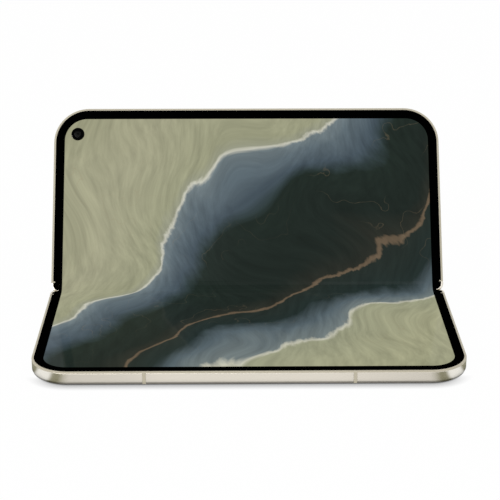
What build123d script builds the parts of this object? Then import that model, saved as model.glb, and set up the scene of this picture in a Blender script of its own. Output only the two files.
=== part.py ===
from build123d import *
import math
import os

# Folding phone with a geared double hinge, standing half open with its hinge from left to right.
#
# Each half is drawn as if the phone lay open and flat, display up: X runs along the hinge, Y from the hinge
# line out to the free edge, and Z = 0 is the top of the rim round the display. The half that lies on the
# table is mirrored into -Y. At the end the pieces are turned about the two hinge axes to the standing pose.

# ------------------------------------------------------------------ driving sizes, millimetres and degrees
LENGTH = 155.2  # along the hinge
HALF_WIDTH = 75.1  # hinge line to free edge
THICKNESS = 5.1  # one half
CORNER_RADIUS = 14.0  # outer corners in plan
WAIST_RADIUS = 3.2  # corners beside the hinge in plan
WAIST_DEPTH = 1.5  # how far the ends draw in at the hinge line
EDGE_RADIUS = 1.2  # lower edge of the metal frame
EDGE_BANDS = 2  # straight bands that make up that round
FACE_GAP = 0.3  # between the two halves, shut or flat
STAND_ANGLE = 122.0  # between the halves as they stand
FIT = 0.05  # clearance between pieces that are seated in each other
RUNNING = 0.05  # clearance round pieces that turn or slide

# display side
RIM_WIDTH = 0.78
RIM_HEIGHT = 0.5
RIM_EDGE = 0.25
STUB_START = 3.65  # the rim turns inwards here, short of the hinge
STUB_WIDTH = 0.5
STUB_REACH = 0.7
BEZEL_SINK = 0.03  # bezel below the rim's top
BEZEL_START = 0.85
DISPLAY_TOP = -0.2
DISPLAY_THICK = 0.45
DISPLAY_INSET = 2.1  # panel edge from the outer edge
ACTIVE_INSET = 4.3  # lit area from the outer edge
ACTIVE_RADIUS = 9.0
BEND_RADIUS = 4.5  # of the lit face in the fold

# metal frame
WALL = 2.0
PLATE_THICK = 0.4  # middle plate under the display
GLASS_THICK = 0.6
GLASS_EDGE = 0.15
GLASS_INSET = 1.3
GLASS_START = 5.5  # back glass from the hinge line
RAIL_END = 9.6  # solid rail along the hinge that carries the brackets
RIB = 1.2
UPPER_RIBS_IN = (58.1, 29.6)  # ribs in from the left and the right end wall
LOWER_RIBS_IN = (26.1, 27.1)
SHEET = 0.3  # outer display or charging coil against the glass
BAY_WALL = 2.85  # beyond each end of the hinge bay
BAND_FROM_END = 40.7  # antenna bands in the free edge
BAND_WIDTH = 1.2

# hinge
AXIS_DEPTH = 1.05  # axes below the rim's top
SKIN = 0.7  # frame behind the spine
SPINE_CLEAR = 0.1
SPINE_WALL = 0.5
SPINE_END = 1.0
MODULE_FROM_END = 27.6  # middle of each hinge module
BLOCK_X = (-11.0, 9.0)  # block from the middle of its module
BLOCK_TOP = -1.15
BLOCK_SCREW_IN = 1.8
TONGUE_RADII = (1.5, 2.2)
TONGUE_SWEEP = 135.0
TONGUE_STOP = 5.0
TONGUE_LEAD = 6.0  # tongue above its axis, where the neck meets it
GROOVE_MOUTH = 10.0
TONGUE_WIDTH = 3.4
LOWER_TONGUE_X = -7.2  # where each tongue begins in its module
UPPER_TONGUE_X = -3.2
CAVITY_X = (1.4, 5.0)  # gear cavity
CAVITY_HALF = 2.6
UPPER_SECTOR_X = (1.6, 3.0)
LOWER_SECTOR_X = (3.3, 4.7)
NECK_BOTTOM = -1.0
FOOT_X = (-9.0, 7.0)
FOOT_END = 9.2
FOOT_BOTTOM = -1.45
FOOT_SCREWS = (-7.0, 5.0)
GEAR_MODULE = 0.175
SECTOR_TEETH = 12  # in a full turn
IDLER_TEETH = 8
PIN_RADIUS = 0.25
PIN_SEAT = 0.8  # length of a pin in each wall of the gear cavity
SCREW_RADIUS = 0.5
SCREW_HEAD = 0.85
SCREW_HEAD_TALL = 0.3
SCREW_LENGTH = 1.9
SMALL_FLATS = 8  # screws and their holes are this many-sided, too small to need a true round

# keys in the free edge of the upper half
KEY_HEIGHT = 1.8
KEY_PROUD = 0.4
KEY_Z = -2.55
KEY_TRAVEL = 0.25
KEY_FLANGE = 0.6
KEY_FLANGE_LIP = 0.4
KEY_SEAT = 0.8  # how far into the wall the flanges reach
KEY_CHAMFER = 0.2
POWER_FROM_END = 53.4  # middles of the keys from the left end
POWER_LENGTH = 14.1
VOLUME_FROM_END = 80.8
VOLUME_LENGTH = 19.6
VOLUME_FLANGE = 7.0
SWITCH_SIZE = (3.2, 1.0, 1.6)
SWITCH_STRIP = (0.2, 2.2)  # thickness and height of the board that carries the switches
SWITCH_STRIP_SPARE = 5.0  # its length past the outermost switches

# socket, grilles and card tray in the right-hand ends
SOCKET_Y = 37.5
SOCKET_WIDTH = 8.94
SOCKET_TALL = 3.16
SOCKET_WALL = 0.3
SOCKET_DEEP = 7.0
SOCKET_BACK_WALL = 0.8
SOCKET_BACK = 1.0  # shell's mouth behind the frame's face
SOCKET_Z = -2.78
TONGUE_SIZE = (4.5, 6.7, 0.7)
GRILLE_SLOTS = 2
GRILLE_PITCH = 7.2
GRILLE_SIZE = (5.2, 1.0)
MICROPHONE_RADIUS = 0.5
MICROPHONE_Y = 55.5
TRAY_Y = 34.0
TRAY_DOOR = (1.6, 15.4, 1.9)
TRAY_PLATE = (20.0, 12.6, 0.8)
TRAY_CARD = (12.3, 8.8, 0.5)
TRAY_CARD_IN = 2.4  # card pockets behind the door
TRAY_Z = -2.85
EJECT_RADIUS = 0.4
EJECT_PAST = 0.2  # middle of the eject hole past the plate's edge
READER_SHEET = 0.2
READER_GAP = 0.1
READER_STOP = 1.0  # behind the plate's end

# cameras
INNER_CAMERA_INSET = (5.3, 6.2)  # from the left and the far side of the lit area
PUNCH_RADIUS = 2.45
INNER_LENS_RADIUS = 1.3
INNER_BODY = (6.4, 6.4, 2.2)
ISLAND_SIZE = (36.0, 44.0)
ISLAND_RADIUS = 9.0
ISLAND_FROM_END = 22.5  # middle of the island from the left end
ISLAND_FROM_EDGE = 26.5  # and from the free edge
ISLAND_PROUD = 2.4
ISLAND_EDGE = 0.7
WINDOW_INSET = 2.0
WINDOW_LEDGE = 0.9
WINDOW_THICK = 0.5
LENS_SPACING = 15.0  # between the two columns of lenses
WIDE_UP, ULTRAWIDE_UP, TELE_UP = -10.5, 4.5, -10.5  # along Y from the island's middle
WIDE_LENS, ULTRAWIDE_LENS, TELE_LENS = (5.0, 11.5), (4.0, 9.4), (4.6, 10.6)  # barrel radius, body side
REAR_BODY_TALL = 2.2
FLASH_UP = (12.5, 5.0)  # flash and ranging sensor
FLASH_RADIUS = 1.9
FLASH_TALL = 0.7
SENSOR_SIDE = 3.4
FLASH_BOARD = (3.0, 0.5)  # its edge round their middles, its thickness
COVER_CAMERA_FROM_END = 9.1
COVER_CAMERA_Y = 37.0
COVER_BODY = (6.4, 6.4, 2.0)
COVER_BARREL = 2.2
COVER_HOLE = 2.6

# inside the halves
INNER_GAP = 0.3
CELL_EDGE = 0.5
CELL_FROM_EDGE = 1.2  # battery short of the free edge's wall
COIL_RADII = (10.5, 21.5)
COIL_SIDES = 36
MAIN_BOARD_Z = (-2.6, -1.9)
MAIN_BOARD_EDGE = 2.2
SHIELD_FIRST = 1.2  # shields from the rail
SHIELD_IN = 4.0  # and from the board's end
SHIELD_UNDER = -4.0
WIDE_SHIELD = (24.0, 16.0, 13.0)
TALL_SHIELD = (50.0, 36.0)
TAIL_BOARD_Z = (-2.0, -1.4)
TAIL_BOARD_IN = 18.0
SPEAKER_SIZE = (13.0, 15.0, 2.9)
SPEAKER_CONE = (8.0, 10.0, 0.6)
MOTOR_SIZE = (9.0, 14.0, 2.8)
MOTOR_IN = (6.0, 10.0)
LOWER_BOARD_Z = (-2.2, -1.6)
LOWER_BOARD_IN = 14.5
LOWER_ARM = (22.0, 11.0)  # the board's arm, in from the free edge's wall
LOWER_SHIELD_UNDER = -3.6
LOWER_SHIELDS = ((2.0, 22.0), (26.0, 50.0))  # along Y from the rail

# ------------------------------------------------------------------ what follows from them
HALF_LENGTH = LENGTH / 2
HINGE_END = FACE_GAP / 2
AXIS_OFFSET = FACE_GAP / 2 + AXIS_DEPTH
REST_TURN = (180 - STAND_ANGLE) / 2
RECESS_RADIUS = THICKNESS - AXIS_DEPTH - SKIN
SPINE_RADIUS = RECESS_RADIUS - SPINE_CLEAR
SPINE_INNER = SPINE_RADIUS - SPINE_WALL
BAY_HALF = HALF_LENGTH - BAY_WALL
SPINE_HALF = BAY_HALF - SPINE_CLEAR
MODULE_X = HALF_LENGTH - MODULE_FROM_END
BAND_X = HALF_LENGTH - BAND_FROM_END
POWER_X = POWER_FROM_END - HALF_LENGTH
VOLUME_X = VOLUME_FROM_END - HALF_LENGTH
COVER_CAMERA = (COVER_CAMERA_FROM_END - HALF_LENGTH, COVER_CAMERA_Y)
BAY_END = AXIS_OFFSET + RECESS_RADIUS
WAIST_TURN = math.acos(1 - WAIST_DEPTH / WAIST_RADIUS)
WAIST_LOW = HINGE_END - WAIST_RADIUS * (1 - math.sin(WAIST_TURN))
DISPLAY_BED = DISPLAY_TOP - DISPLAY_THICK
PLATE_UNDER = DISPLAY_BED - PLATE_THICK
GLASS_TOP = GLASS_THICK - THICKNESS
ACTIVE_HALF = HALF_LENGTH - ACTIVE_INSET
ACTIVE_EDGE = HALF_WIDTH - ACTIVE_INSET
INNER_EDGE = HALF_WIDTH - WALL
INNER_HALF = HALF_LENGTH - WALL
UPPER_RIBS = (UPPER_RIBS_IN[0] - INNER_HALF, INNER_HALF - UPPER_RIBS_IN[1])
LOWER_RIBS = (LOWER_RIBS_IN[0] - INNER_HALF, INNER_HALF - LOWER_RIBS_IN[1])
INNER_CAMERA = (INNER_CAMERA_INSET[0] - ACTIVE_HALF, ACTIVE_EDGE - INNER_CAMERA_INSET[1])
SWITCH_GAP = KEY_TRAVEL + FIT
SPEAKER_Y = RAIL_END + INNER_GAP + SPEAKER_SIZE[1] / 2
ISLAND_X = ISLAND_FROM_END - HALF_LENGTH
ISLAND_Y = HALF_WIDTH - ISLAND_FROM_EDGE
ISLAND_BACK = -THICKNESS - ISLAND_PROUD
STUB_END = STUB_START + STUB_WIDTH
STUB_IN = HALF_LENGTH - RIM_WIDTH - STUB_REACH
SECTOR_RADIUS = GEAR_MODULE * SECTOR_TEETH / 2
IDLER_RADIUS = GEAR_MODULE * IDLER_TEETH / 2
TOOTH_ROOT = 1.1 * GEAR_MODULE  # below the pitch circle
TOOTH_TIP = 0.85 * GEAR_MODULE
TOOTH_HALVES = (0.71 * GEAR_MODULE, 0.6 * GEAR_MODULE, 0.29 * GEAR_MODULE)  # at root, pitch circle, tip
IDLER_Y = IDLER_RADIUS
IDLER_DROP = math.sqrt((SECTOR_RADIUS + IDLER_RADIUS) ** 2 - (AXIS_OFFSET - IDLER_Y) ** 2)
IDLER_Z = -AXIS_DEPTH - IDLER_DROP
MESH_ANGLE = math.degrees(math.atan2(-IDLER_DROP, IDLER_Y - AXIS_OFFSET))
# Where the two slanting display planes would meet, and where the bend leaves the flat panel.
REST_SIN = math.sin(math.radians(REST_TURN))
REST_COS = math.cos(math.radians(REST_TURN))
FACE_RISE = (AXIS_DEPTH + DISPLAY_TOP - AXIS_OFFSET * REST_SIN) / REST_COS
FOLD_LINE = AXIS_OFFSET * (1 - REST_COS) + FACE_RISE * REST_SIN
BEND_START = FOLD_LINE + BEND_RADIUS * REST_SIN / REST_COS
BEND_CENTRE = FACE_RISE - AXIS_DEPTH + BEND_RADIUS / REST_COS
TINY = 0.01
OVER = 2.0  # how far a cutter runs past what it cuts


# ------------------------------------------------------------------ shared shapes
def block(x, y, z):
    """Box between two limits on each axis."""
    size = [high - low for low, high in (x, y, z)]
    middle = [(low + high) / 2 for low, high in (x, y, z)]
    return Pos(*middle) * Box(*size)


def slab(outline, low, high):
    """A flat outline raised from one height to another."""
    return Pos(0, 0, low) * extrude(outline, high - low, dir=(0, 0, 1))


def along_x(face, start, end):
    """A face drawn in Y and Z, drawn out along X."""
    return Pos(start, 0, 0) * extrude(Plane.YZ * face, end - start, dir=(1, 0, 0))


def mirrored(part):
    """The same piece on the other side of the hinge line."""
    return mirror(part, about=Plane.XZ)


def both_ends(part):
    """A piece and its mirror image at the other end of the hinge."""
    return [part, mirror(part, about=Plane.YZ)]


def ring_stretch(radii, start, sweep):
    """Face of a stretch of ring about the origin."""
    inner, outer = (CenterArc((0, 0), radius, start, sweep) for radius in radii)
    return make_face([inner, outer, Line(inner @ 0, outer @ 0), Line(inner @ 1, outer @ 1)])


def disc(radius, middle, low, high):
    """Upright cylinder between two heights."""
    return Pos(middle[0], middle[1], (low + high) / 2) * Cylinder(radius, high - low)


def peg(radius, middle, low, high):
    """Upright screw, head or screw hole, many-sided instead of round."""
    return slab(Pos(*middle) * RegularPolygon(radius, SMALL_FLATS), low, high)


def joined(parts):
    """One solid from parts that share material."""
    first, *others = parts
    for other in others:
        first = first + other
    return first


# ------------------------------------------------------------------ outlines in plan
def plan(inset=0.0, start=HINGE_END):
    """Plan of a half, drawn in by inset and cut off square at start."""
    near, far = WAIST_LOW + inset, HALF_WIDTH - inset
    outline = Pos(0, (near + far) / 2) * Rectangle(LENGTH - 2 * inset, far - near)
    rows = outline.vertices().group_by(Axis.Y)
    outline = fillet(rows[-1], CORNER_RADIUS - inset)
    rows = outline.vertices().group_by(Axis.Y)
    outline = fillet(rows[0], max(WAIST_RADIUS - inset, TINY))
    if start > near:
        outline -= Pos(0, start - HALF_WIDTH / 2) * Rectangle(LENGTH + OVER, HALF_WIDTH)
    return outline


def active_plan():
    """The lit area, running on past the hinge line."""
    outline = Pos(0, (ACTIVE_EDGE - HALF_WIDTH) / 2) * Rectangle(2 * ACTIVE_HALF, ACTIVE_EDGE + HALF_WIDTH)
    return fillet(outline.vertices().group_by(Axis.Y)[-1], ACTIVE_RADIUS)


def display_plan(grow=0.0):
    """The panel, narrower beside the hinge so that it clears the frame's ends."""
    body = plan(DISPLAY_INSET - grow, STUB_END + FIT - grow)
    start, end = BEND_START - grow, STUB_END + 2 * FIT
    neck = Pos(0, (start + end) / 2) * Rectangle(2 * (SPINE_HALF + grow), end - start)
    return body + neck


# ------------------------------------------------------------------ frame, rim, bezel and panel of a half
def frame_blank():
    """Frame before its pockets: a straight wall and its round lower edge in tapered bands, cut square."""
    blank = slab(plan(start=-HALF_WIDTH), EDGE_RADIUS - THICKNESS, 0)
    turns = [math.radians(90 * step / EDGE_BANDS) for step in range(EDGE_BANDS + 1)]
    for near, far in zip(turns, turns[1:]):
        outline = plan(EDGE_RADIUS * (1 - math.cos(near)), -HALF_WIDTH)
        top = EDGE_RADIUS * (1 - math.sin(near)) - THICKNESS
        deep = EDGE_RADIUS * (math.sin(far) - math.sin(near))
        lean = math.degrees(near + far) / 2
        blank += Pos(0, 0, top) * extrude(outline, deep, dir=(0, 0, -1), taper=lean)
    return blank - block((-LENGTH, LENGTH), (-HALF_WIDTH, HINGE_END), (-THICKNESS - OVER, OVER))


def hinge_bay():
    """Room for the spine: its own section with clearance, open to the display and to the other half."""
    trough = along_x(spine_section(RECESS_RADIUS), -BAY_HALF, BAY_HALF)
    mouth = block((-BAY_HALF, BAY_HALF), (-OVER, BAY_END), (-AXIS_DEPTH, OVER))
    return trough + mouth


def nose_cut():
    """What is taken off the frame's ends above the axis, so that the halves can turn past each other."""
    corner = block((-LENGTH, LENGTH), (-OVER, AXIS_OFFSET), (-AXIS_DEPTH, OVER))
    return corner - Pos(0, AXIS_OFFSET, -AXIS_DEPTH) * Rot(0, 90, 0) * Cylinder(AXIS_DEPTH, 3 * LENGTH)


def band_slots():
    """Slots through the free edge for the antenna bands."""
    cuts = []
    for x in (-BAND_X, BAND_X):
        width = (x - BAND_WIDTH / 2, x + BAND_WIDTH / 2)
        cuts.append(block(width, (INNER_EDGE, HALF_WIDTH + OVER), (-THICKNESS - OVER, -RIM_HEIGHT)))
    return cuts


def rear_seat(grow=0.0):
    """Shallow pocket for the glass."""
    outline = plan(GLASS_INSET - grow, GLASS_START - grow)
    return slab(outline, -THICKNESS - OVER, GLASS_TOP + grow)


def inner_bays(ribs):
    """Pockets behind the middle plate, parted by ribs at the given places along X."""
    pocket = slab(plan(WALL, RAIL_END), GLASS_TOP - TINY, PLATE_UNDER)
    for x in ribs:
        pocket -= block((x - RIB / 2, x + RIB / 2), (0, HALF_WIDTH), (GLASS_TOP + SHEET + FIT, 0))
    return pocket


def bracket_seats():
    """Seats and tapped holes in the rail for the hinge brackets."""
    x = (FOOT_X[0] - FIT, FOOT_X[1] + FIT)
    seat = block(x, (BAY_END - TINY, FOOT_END + FIT), (FOOT_BOTTOM, OVER))
    for spot in foot_spots():
        seat += peg(SCREW_RADIUS, spot, DISPLAY_BED - SCREW_LENGTH, FOOT_BOTTOM + TINY)
    return both_ends(Pos(MODULE_X, 0, 0) * seat)


def frame(ribs):
    """Metal frame of a half with everything that both halves share."""
    body = frame_blank()
    body -= slab(plan(RIM_WIDTH), DISPLAY_BED, OVER)
    body -= block((-LENGTH, LENGTH), (STUB_START, HALF_WIDTH + OVER), (-RIM_HEIGHT, OVER))
    body -= nose_cut()
    body -= hinge_bay()
    body -= rear_seat()
    body -= inner_bays(ribs)
    for cut in band_slots() + bracket_seats():
        body -= cut
    return body


def rim():
    """Moulded rim round three sides with its stubs and the antenna bands that hang from it."""
    ring = slab(plan(0, STUB_START), -RIM_HEIGHT, 0)
    top = ring.faces().sort_by(Axis.Z)[-1].edges()
    ring = chamfer([side for side in top if side.bounding_box().max.Y > STUB_START + TINY], RIM_EDGE)
    ring -= slab(plan(RIM_WIDTH, STUB_START - OVER), -THICKNESS, OVER)
    stub = block((STUB_IN, STUB_IN + STUB_REACH + RIM_WIDTH / 2), (STUB_START, STUB_END),
                 (-RIM_HEIGHT, -BEZEL_SINK))
    pieces = [ring] + both_ends(stub)
    blank = frame_blank() - rear_seat() - slab(plan(RIM_WIDTH), DISPLAY_BED, OVER)
    pieces += [blank & slot for slot in band_slots()]
    return joined(pieces)


def bezel():
    """Black trim over the panel's edge, notched for the rim's stubs."""
    trim = slab(plan(RIM_WIDTH + FIT, BEZEL_START) - active_plan(), DISPLAY_BED, -BEZEL_SINK)
    trim -= slab(display_plan(FIT), DISPLAY_BED - OVER, DISPLAY_TOP)
    trim -= block((-BAY_HALF, BAY_HALF), (0, BEND_START + FIT), (DISPLAY_BED - OVER, OVER))
    notch = block((STUB_IN - FIT, HALF_LENGTH), (STUB_START - FIT, STUB_END + FIT), (-THICKNESS, OVER))
    for cut in both_ends(notch):
        trim -= cut
    return trim


def display_flat():
    """Flat stretch of the inner display."""
    return slab(display_plan(), DISPLAY_BED, DISPLAY_TOP)


def display_bend():
    """The stretch of the inner display that lies in the fold."""
    radii = (BEND_RADIUS, BEND_RADIUS + DISPLAY_THICK)
    face = Pos(0, BEND_CENTRE) * ring_stretch(radii, -90 - REST_TURN, 2 * REST_TURN)
    return along_x(face, -SPINE_HALF, SPINE_HALF)


def rear_glass():
    """Glass of a half's outer face."""
    pane = slab(plan(GLASS_INSET + FIT, GLASS_START + FIT), -THICKNESS, GLASS_TOP)
    lower = pane.faces().sort_by(Axis.Z)[0].edges()
    return chamfer(lower, GLASS_EDGE)


# ------------------------------------------------------------------ hinge
def spine_section(radius):
    """Closed section of the spine: a quarter round about each axis, joined by a flat floor."""
    left = CenterArc((-AXIS_OFFSET, -AXIS_DEPTH), radius, 180, 90)
    right = CenterArc((AXIS_OFFSET, -AXIS_DEPTH), radius, 270, 90)
    return make_face([left, Line(left @ 1, right @ 0), right, Line(right @ 1, left @ 0)])


def module_screws():
    """Middles of the two screws that hold a hinge block, from the middle of its module."""
    return [(BLOCK_X[0] + BLOCK_SCREW_IN, 0), (BLOCK_X[1] - BLOCK_SCREW_IN, 0)]


def spine_cover():
    """Channel with closed ends that hides and carries the hinge."""
    shell = along_x(spine_section(SPINE_RADIUS), -SPINE_HALF, SPINE_HALF)
    ends = SPINE_HALF - SPINE_END
    shell -= along_x(spine_section(SPINE_INNER), -ends, ends)
    floor = -AXIS_DEPTH - SPINE_INNER
    for spot in module_screws():
        hole = Pos(MODULE_X, 0, 0) * peg(SCREW_RADIUS, spot, floor - SPINE_WALL / 2, floor + OVER)
        for cut in both_ends(hole):
            shell -= cut
    return shell


def groove(start):
    """Arc groove in a block for a tongue that turns about the upper half's axis."""
    radii = (TONGUE_RADII[0] - RUNNING, TONGUE_RADII[1] + RUNNING)
    sweep = GROOVE_MOUTH + TONGUE_SWEEP + TONGUE_STOP
    face = Pos(AXIS_OFFSET, -AXIS_DEPTH) * ring_stretch(radii, GROOVE_MOUTH, -sweep)
    return along_x(face, start - RUNNING, start + TONGUE_WIDTH + RUNNING)


def pin_lengths(face):
    """A face on each idler's axis, drawn out over the length of its pin."""
    ends = (CAVITY_X[0] - PIN_SEAT, CAVITY_X[1] + PIN_SEAT)
    return [along_x(Pos(y, IDLER_Z) * face, *ends) for y in (-IDLER_Y, IDLER_Y)]


def hinge_block():
    """Steel block with an arc groove for each half's tongue and a cavity for the gears."""
    body = along_x(spine_section(SPINE_INNER - FIT), *BLOCK_X)
    body -= block((-LENGTH, LENGTH), (-THICKNESS, THICKNESS), (BLOCK_TOP, OVER))
    body -= groove(UPPER_TONGUE_X)
    body -= mirrored(groove(LOWER_TONGUE_X))
    body -= block(CAVITY_X, (-CAVITY_HALF, CAVITY_HALF), (-THICKNESS, OVER))
    for bore in pin_lengths(RegularPolygon(PIN_RADIUS + FIT, SMALL_FLATS)):
        body -= bore
    for spot in module_screws():
        body -= peg(SCREW_RADIUS + TINY, spot, -THICKNESS, OVER)
        body -= peg(SCREW_HEAD + FIT, spot, BLOCK_TOP - SCREW_HEAD_TALL, OVER)
    return body


def gear_pins():
    """Pins of one module's two idlers."""
    return pin_lengths(Circle(PIN_RADIUS))


def screw(spot, tip, top):
    """Screw with a flat head that ends at the given height."""
    shank = peg(SCREW_RADIUS - TINY, spot, tip, top)
    return shank + peg(SCREW_HEAD, spot, top + FIT - SCREW_HEAD_TALL, top)


def block_screws():
    """Screws of one hinge block, through it into the spine's floor."""
    tip = -AXIS_DEPTH - SPINE_INNER - SPINE_WALL / 2 + FIT
    return [screw(spot, tip, BLOCK_TOP - FIT) for spot in module_screws()]


def gear_tooth(pitch_radius):
    """One tooth on +X, from inside the root out to the tip."""
    root, tip = pitch_radius - TOOTH_ROOT, pitch_radius + TOOTH_TIP
    foot, waist, crown = TOOTH_HALVES
    side = [(root - GEAR_MODULE, foot), (root, foot), (pitch_radius, waist), (tip, crown)]
    outline = side + [(radius, -half) for radius, half in reversed(side)]
    return make_face(Polyline(*outline, close=True))


def gear_face(pitch_radius, count, angles):
    """Gear face about the origin: a root with a flat per tooth space, and teeth at the given angles."""
    face = Rot(0, 0, angles[0]) * RegularPolygon(pitch_radius - TOOTH_ROOT, count)
    tooth = gear_tooth(pitch_radius)
    for angle in angles:
        face += Rot(0, 0, angle) * tooth
    return face


def sector_angles(first):
    """Angles of a sector's teeth, from just past the mesh point through the quarter turn it works over."""
    pitch = 360 / SECTOR_TEETH
    return [first - pitch * step for step in range(math.ceil(90 / pitch) + 1)]


def foot_spots():
    """Middles of a bracket's screws, from the middle of its module."""
    return [(x, (BAY_END + FOOT_END) / 2) for x in FOOT_SCREWS]


def bracket(tongue_start, sector_x, first_tooth):
    """Foot on the rail, two necks over the spine's wall, an arc tongue and a gear sector."""
    foot_start = BAY_END + FIT
    foot = block(FOOT_X, (foot_start, FOOT_END), (FOOT_BOTTOM, DISPLAY_BED))
    tongue_x = (tongue_start, tongue_start + TONGUE_WIDTH)
    neck_z = (NECK_BOTTOM, DISPLAY_BED)
    necks = [block(tongue_x, (AXIS_OFFSET + TONGUE_RADII[0], foot_start + TINY), neck_z),
             block(sector_x, (AXIS_OFFSET, foot_start + TINY), neck_z)]
    centre = Pos(AXIS_OFFSET, -AXIS_DEPTH)
    arc = centre * ring_stretch(TONGUE_RADII, TONGUE_LEAD, -TONGUE_SWEEP - TONGUE_LEAD)
    teeth = centre * gear_face(SECTOR_RADIUS, SECTOR_TEETH, sector_angles(first_tooth))
    teeth -= Pos(0, DISPLAY_BED - FIT + HALF_WIDTH / 2) * Rectangle(HALF_WIDTH, HALF_WIDTH)
    body = joined([foot] + necks + [along_x(arc, *tongue_x), along_x(teeth, *sector_x)])
    for spot in foot_spots():
        body -= peg(SCREW_RADIUS + TINY, spot, -THICKNESS, OVER)
        body -= peg(SCREW_HEAD + FIT, spot, DISPLAY_BED - SCREW_HEAD_TALL, OVER)
    return body


def bracket_screws():
    """Screws of one bracket, heads flush under the display."""
    tip = DISPLAY_BED - SCREW_LENGTH + FIT
    return [screw(spot, tip, DISPLAY_BED - FIT) for spot in foot_spots()]


def idler(side):
    """Idler on the given side of the hinge line, in mesh with its neighbours while the phone is flat."""
    tooth = MESH_ANGLE + 180
    pitch = 360 / IDLER_TEETH
    if side < 0:
        tooth = 180 - tooth + pitch / 2
    angles = [tooth + pitch * step for step in range(IDLER_TEETH)]
    face = gear_face(IDLER_RADIUS, IDLER_TEETH, angles)
    face -= RegularPolygon(PIN_RADIUS + RUNNING + FIT, SMALL_FLATS)
    wide = (UPPER_SECTOR_X[0], LOWER_SECTOR_X[1])
    return along_x(Pos(side * IDLER_Y, IDLER_Z) * face, *wide)


# ------------------------------------------------------------------ keys
def key_hole(x, length, flange):
    """Slot for a key and the pocket behind it for its flange."""
    half = length / 2 + 2 * RUNNING
    tall = KEY_HEIGHT + 2 * RUNNING
    face = Pos(x, 0) * SlotOverall(2 * half, tall)
    slot = Pos(0, INNER_EDGE - OVER, KEY_Z) * Rot(90, 0, 0) * extrude(face, -WALL - 2 * OVER)
    lip = KEY_FLANGE_LIP / 2 + RUNNING
    pocket = block((x - flange / 2 - 2 * RUNNING, x + flange / 2 + 2 * RUNNING),
                   (INNER_EDGE - OVER, flange_face() + 2 * RUNNING),
                   (KEY_Z - KEY_HEIGHT / 2 - lip, KEY_Z + KEY_HEIGHT / 2 + lip))
    return slot + pocket


def flange_face():
    """How far out the keys' flanges reach."""
    return INNER_EDGE + KEY_SEAT


def key(x, length, flange):
    """Key with rounded ends, a softened face and a flange that keeps it in the frame."""
    depth = HALF_WIDTH + KEY_PROUD - flange_face() + KEY_FLANGE
    bar = extrude(SlotOverall(length, KEY_HEIGHT), depth, dir=(0, 0, 1))
    bar = chamfer(bar.faces().sort_by(Axis.Z)[-1].edges(), KEY_CHAMFER)
    bar = Pos(x, HALF_WIDTH + KEY_PROUD - depth, KEY_Z) * Rot(-90, 0, 0) * bar
    lip = KEY_FLANGE_LIP / 2
    plate = block((x - flange / 2, x + flange / 2), (flange_face() - KEY_FLANGE, flange_face()),
                  (KEY_Z - KEY_HEIGHT / 2 - lip, KEY_Z + KEY_HEIGHT / 2 + lip))
    return bar + plate


def key_switches():
    """Strip of flexible board along the free edge, and a switch behind each press point."""
    front = flange_face() - KEY_FLANGE - SWITCH_GAP
    back = front - SWITCH_SIZE[1]
    spots = [POWER_X, VOLUME_X - VOLUME_LENGTH / 3, VOLUME_X + VOLUME_LENGTH / 3]
    thick, tall = SWITCH_STRIP
    strip = block((spots[0] - SWITCH_STRIP_SPARE, spots[-1] + SWITCH_STRIP_SPARE), (back, back + thick),
                  (KEY_Z - tall / 2, KEY_Z + tall / 2))
    wide, high = SWITCH_SIZE[0] / 2, SWITCH_SIZE[2] / 2
    switches = [block((x - wide, x + wide), (back, front), (KEY_Z - high, KEY_Z + high)) for x in spots]
    return joined([strip] + switches)


# ------------------------------------------------------------------ socket, grilles, tray
def stadium(width, tall, start, end, y, z):
    """Round-ended bar along X."""
    return along_x(Pos(y, z) * SlotOverall(width, tall), start, end)


def socket_mouth():
    """Opening of the socket through the end wall, a shade wider than its shell."""
    return stadium(SOCKET_WIDTH + 2 * FIT, SOCKET_TALL + 2 * FIT, INNER_HALF - OVER,
                   HALF_LENGTH + OVER, SOCKET_Y, SOCKET_Z)


def socket():
    """Charging socket: folded shell, back wall and the contact tongue in it."""
    front = HALF_LENGTH - SOCKET_BACK
    shell = stadium(SOCKET_WIDTH, SOCKET_TALL, front - SOCKET_DEEP, front, SOCKET_Y, SOCKET_Z)
    width, tall = SOCKET_WIDTH - 2 * SOCKET_WALL, SOCKET_TALL - 2 * SOCKET_WALL
    back = front - SOCKET_DEEP + SOCKET_BACK_WALL
    shell -= stadium(width, tall, back, front + OVER, SOCKET_Y, SOCKET_Z)
    deep, wide, thick = TONGUE_SIZE
    tongue = Pos(back + deep / 2 - TINY, SOCKET_Y, SOCKET_Z) * Box(deep, wide, thick)
    return shell + tongue


def grille(end):
    """Round-ended slots of a loudspeaker through the wall at one end."""
    cut = stadium(*GRILLE_SIZE, INNER_HALF - OVER, HALF_LENGTH + OVER, SPEAKER_Y, SOCKET_Z)
    first = -GRILLE_PITCH * (GRILLE_SLOTS - 1) / 2
    slots = [Pos(0, first + GRILLE_PITCH * step, 0) * cut for step in range(GRILLE_SLOTS)]
    return slots if end > 0 else [mirror(slot, about=Plane.YZ) for slot in slots]


def microphone():
    """Hole through the right-hand wall for a microphone."""
    round_hole = Pos(MICROPHONE_Y, SOCKET_Z) * Circle(MICROPHONE_RADIUS)
    return along_x(round_hole, INNER_HALF - OVER, HALF_LENGTH + OVER)


def tray_slot():
    """Way in for the card tray, with the hole for its eject tool."""
    grow = 2 * RUNNING
    door = stadium(TRAY_DOOR[1] + grow, TRAY_DOOR[2] + grow, HALF_LENGTH - TRAY_DOOR[0] - FIT,
                   HALF_LENGTH + OVER, TRAY_Y, TRAY_Z)
    wide, tall = TRAY_PLATE[1] / 2 + RUNNING, TRAY_PLATE[2] / 2 + RUNNING
    y, z = (TRAY_Y - wide, TRAY_Y + wide), (TRAY_Z - tall, TRAY_Z + tall)
    way = block((INNER_HALF - OVER, HALF_LENGTH), y, z)
    return door + way


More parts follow.
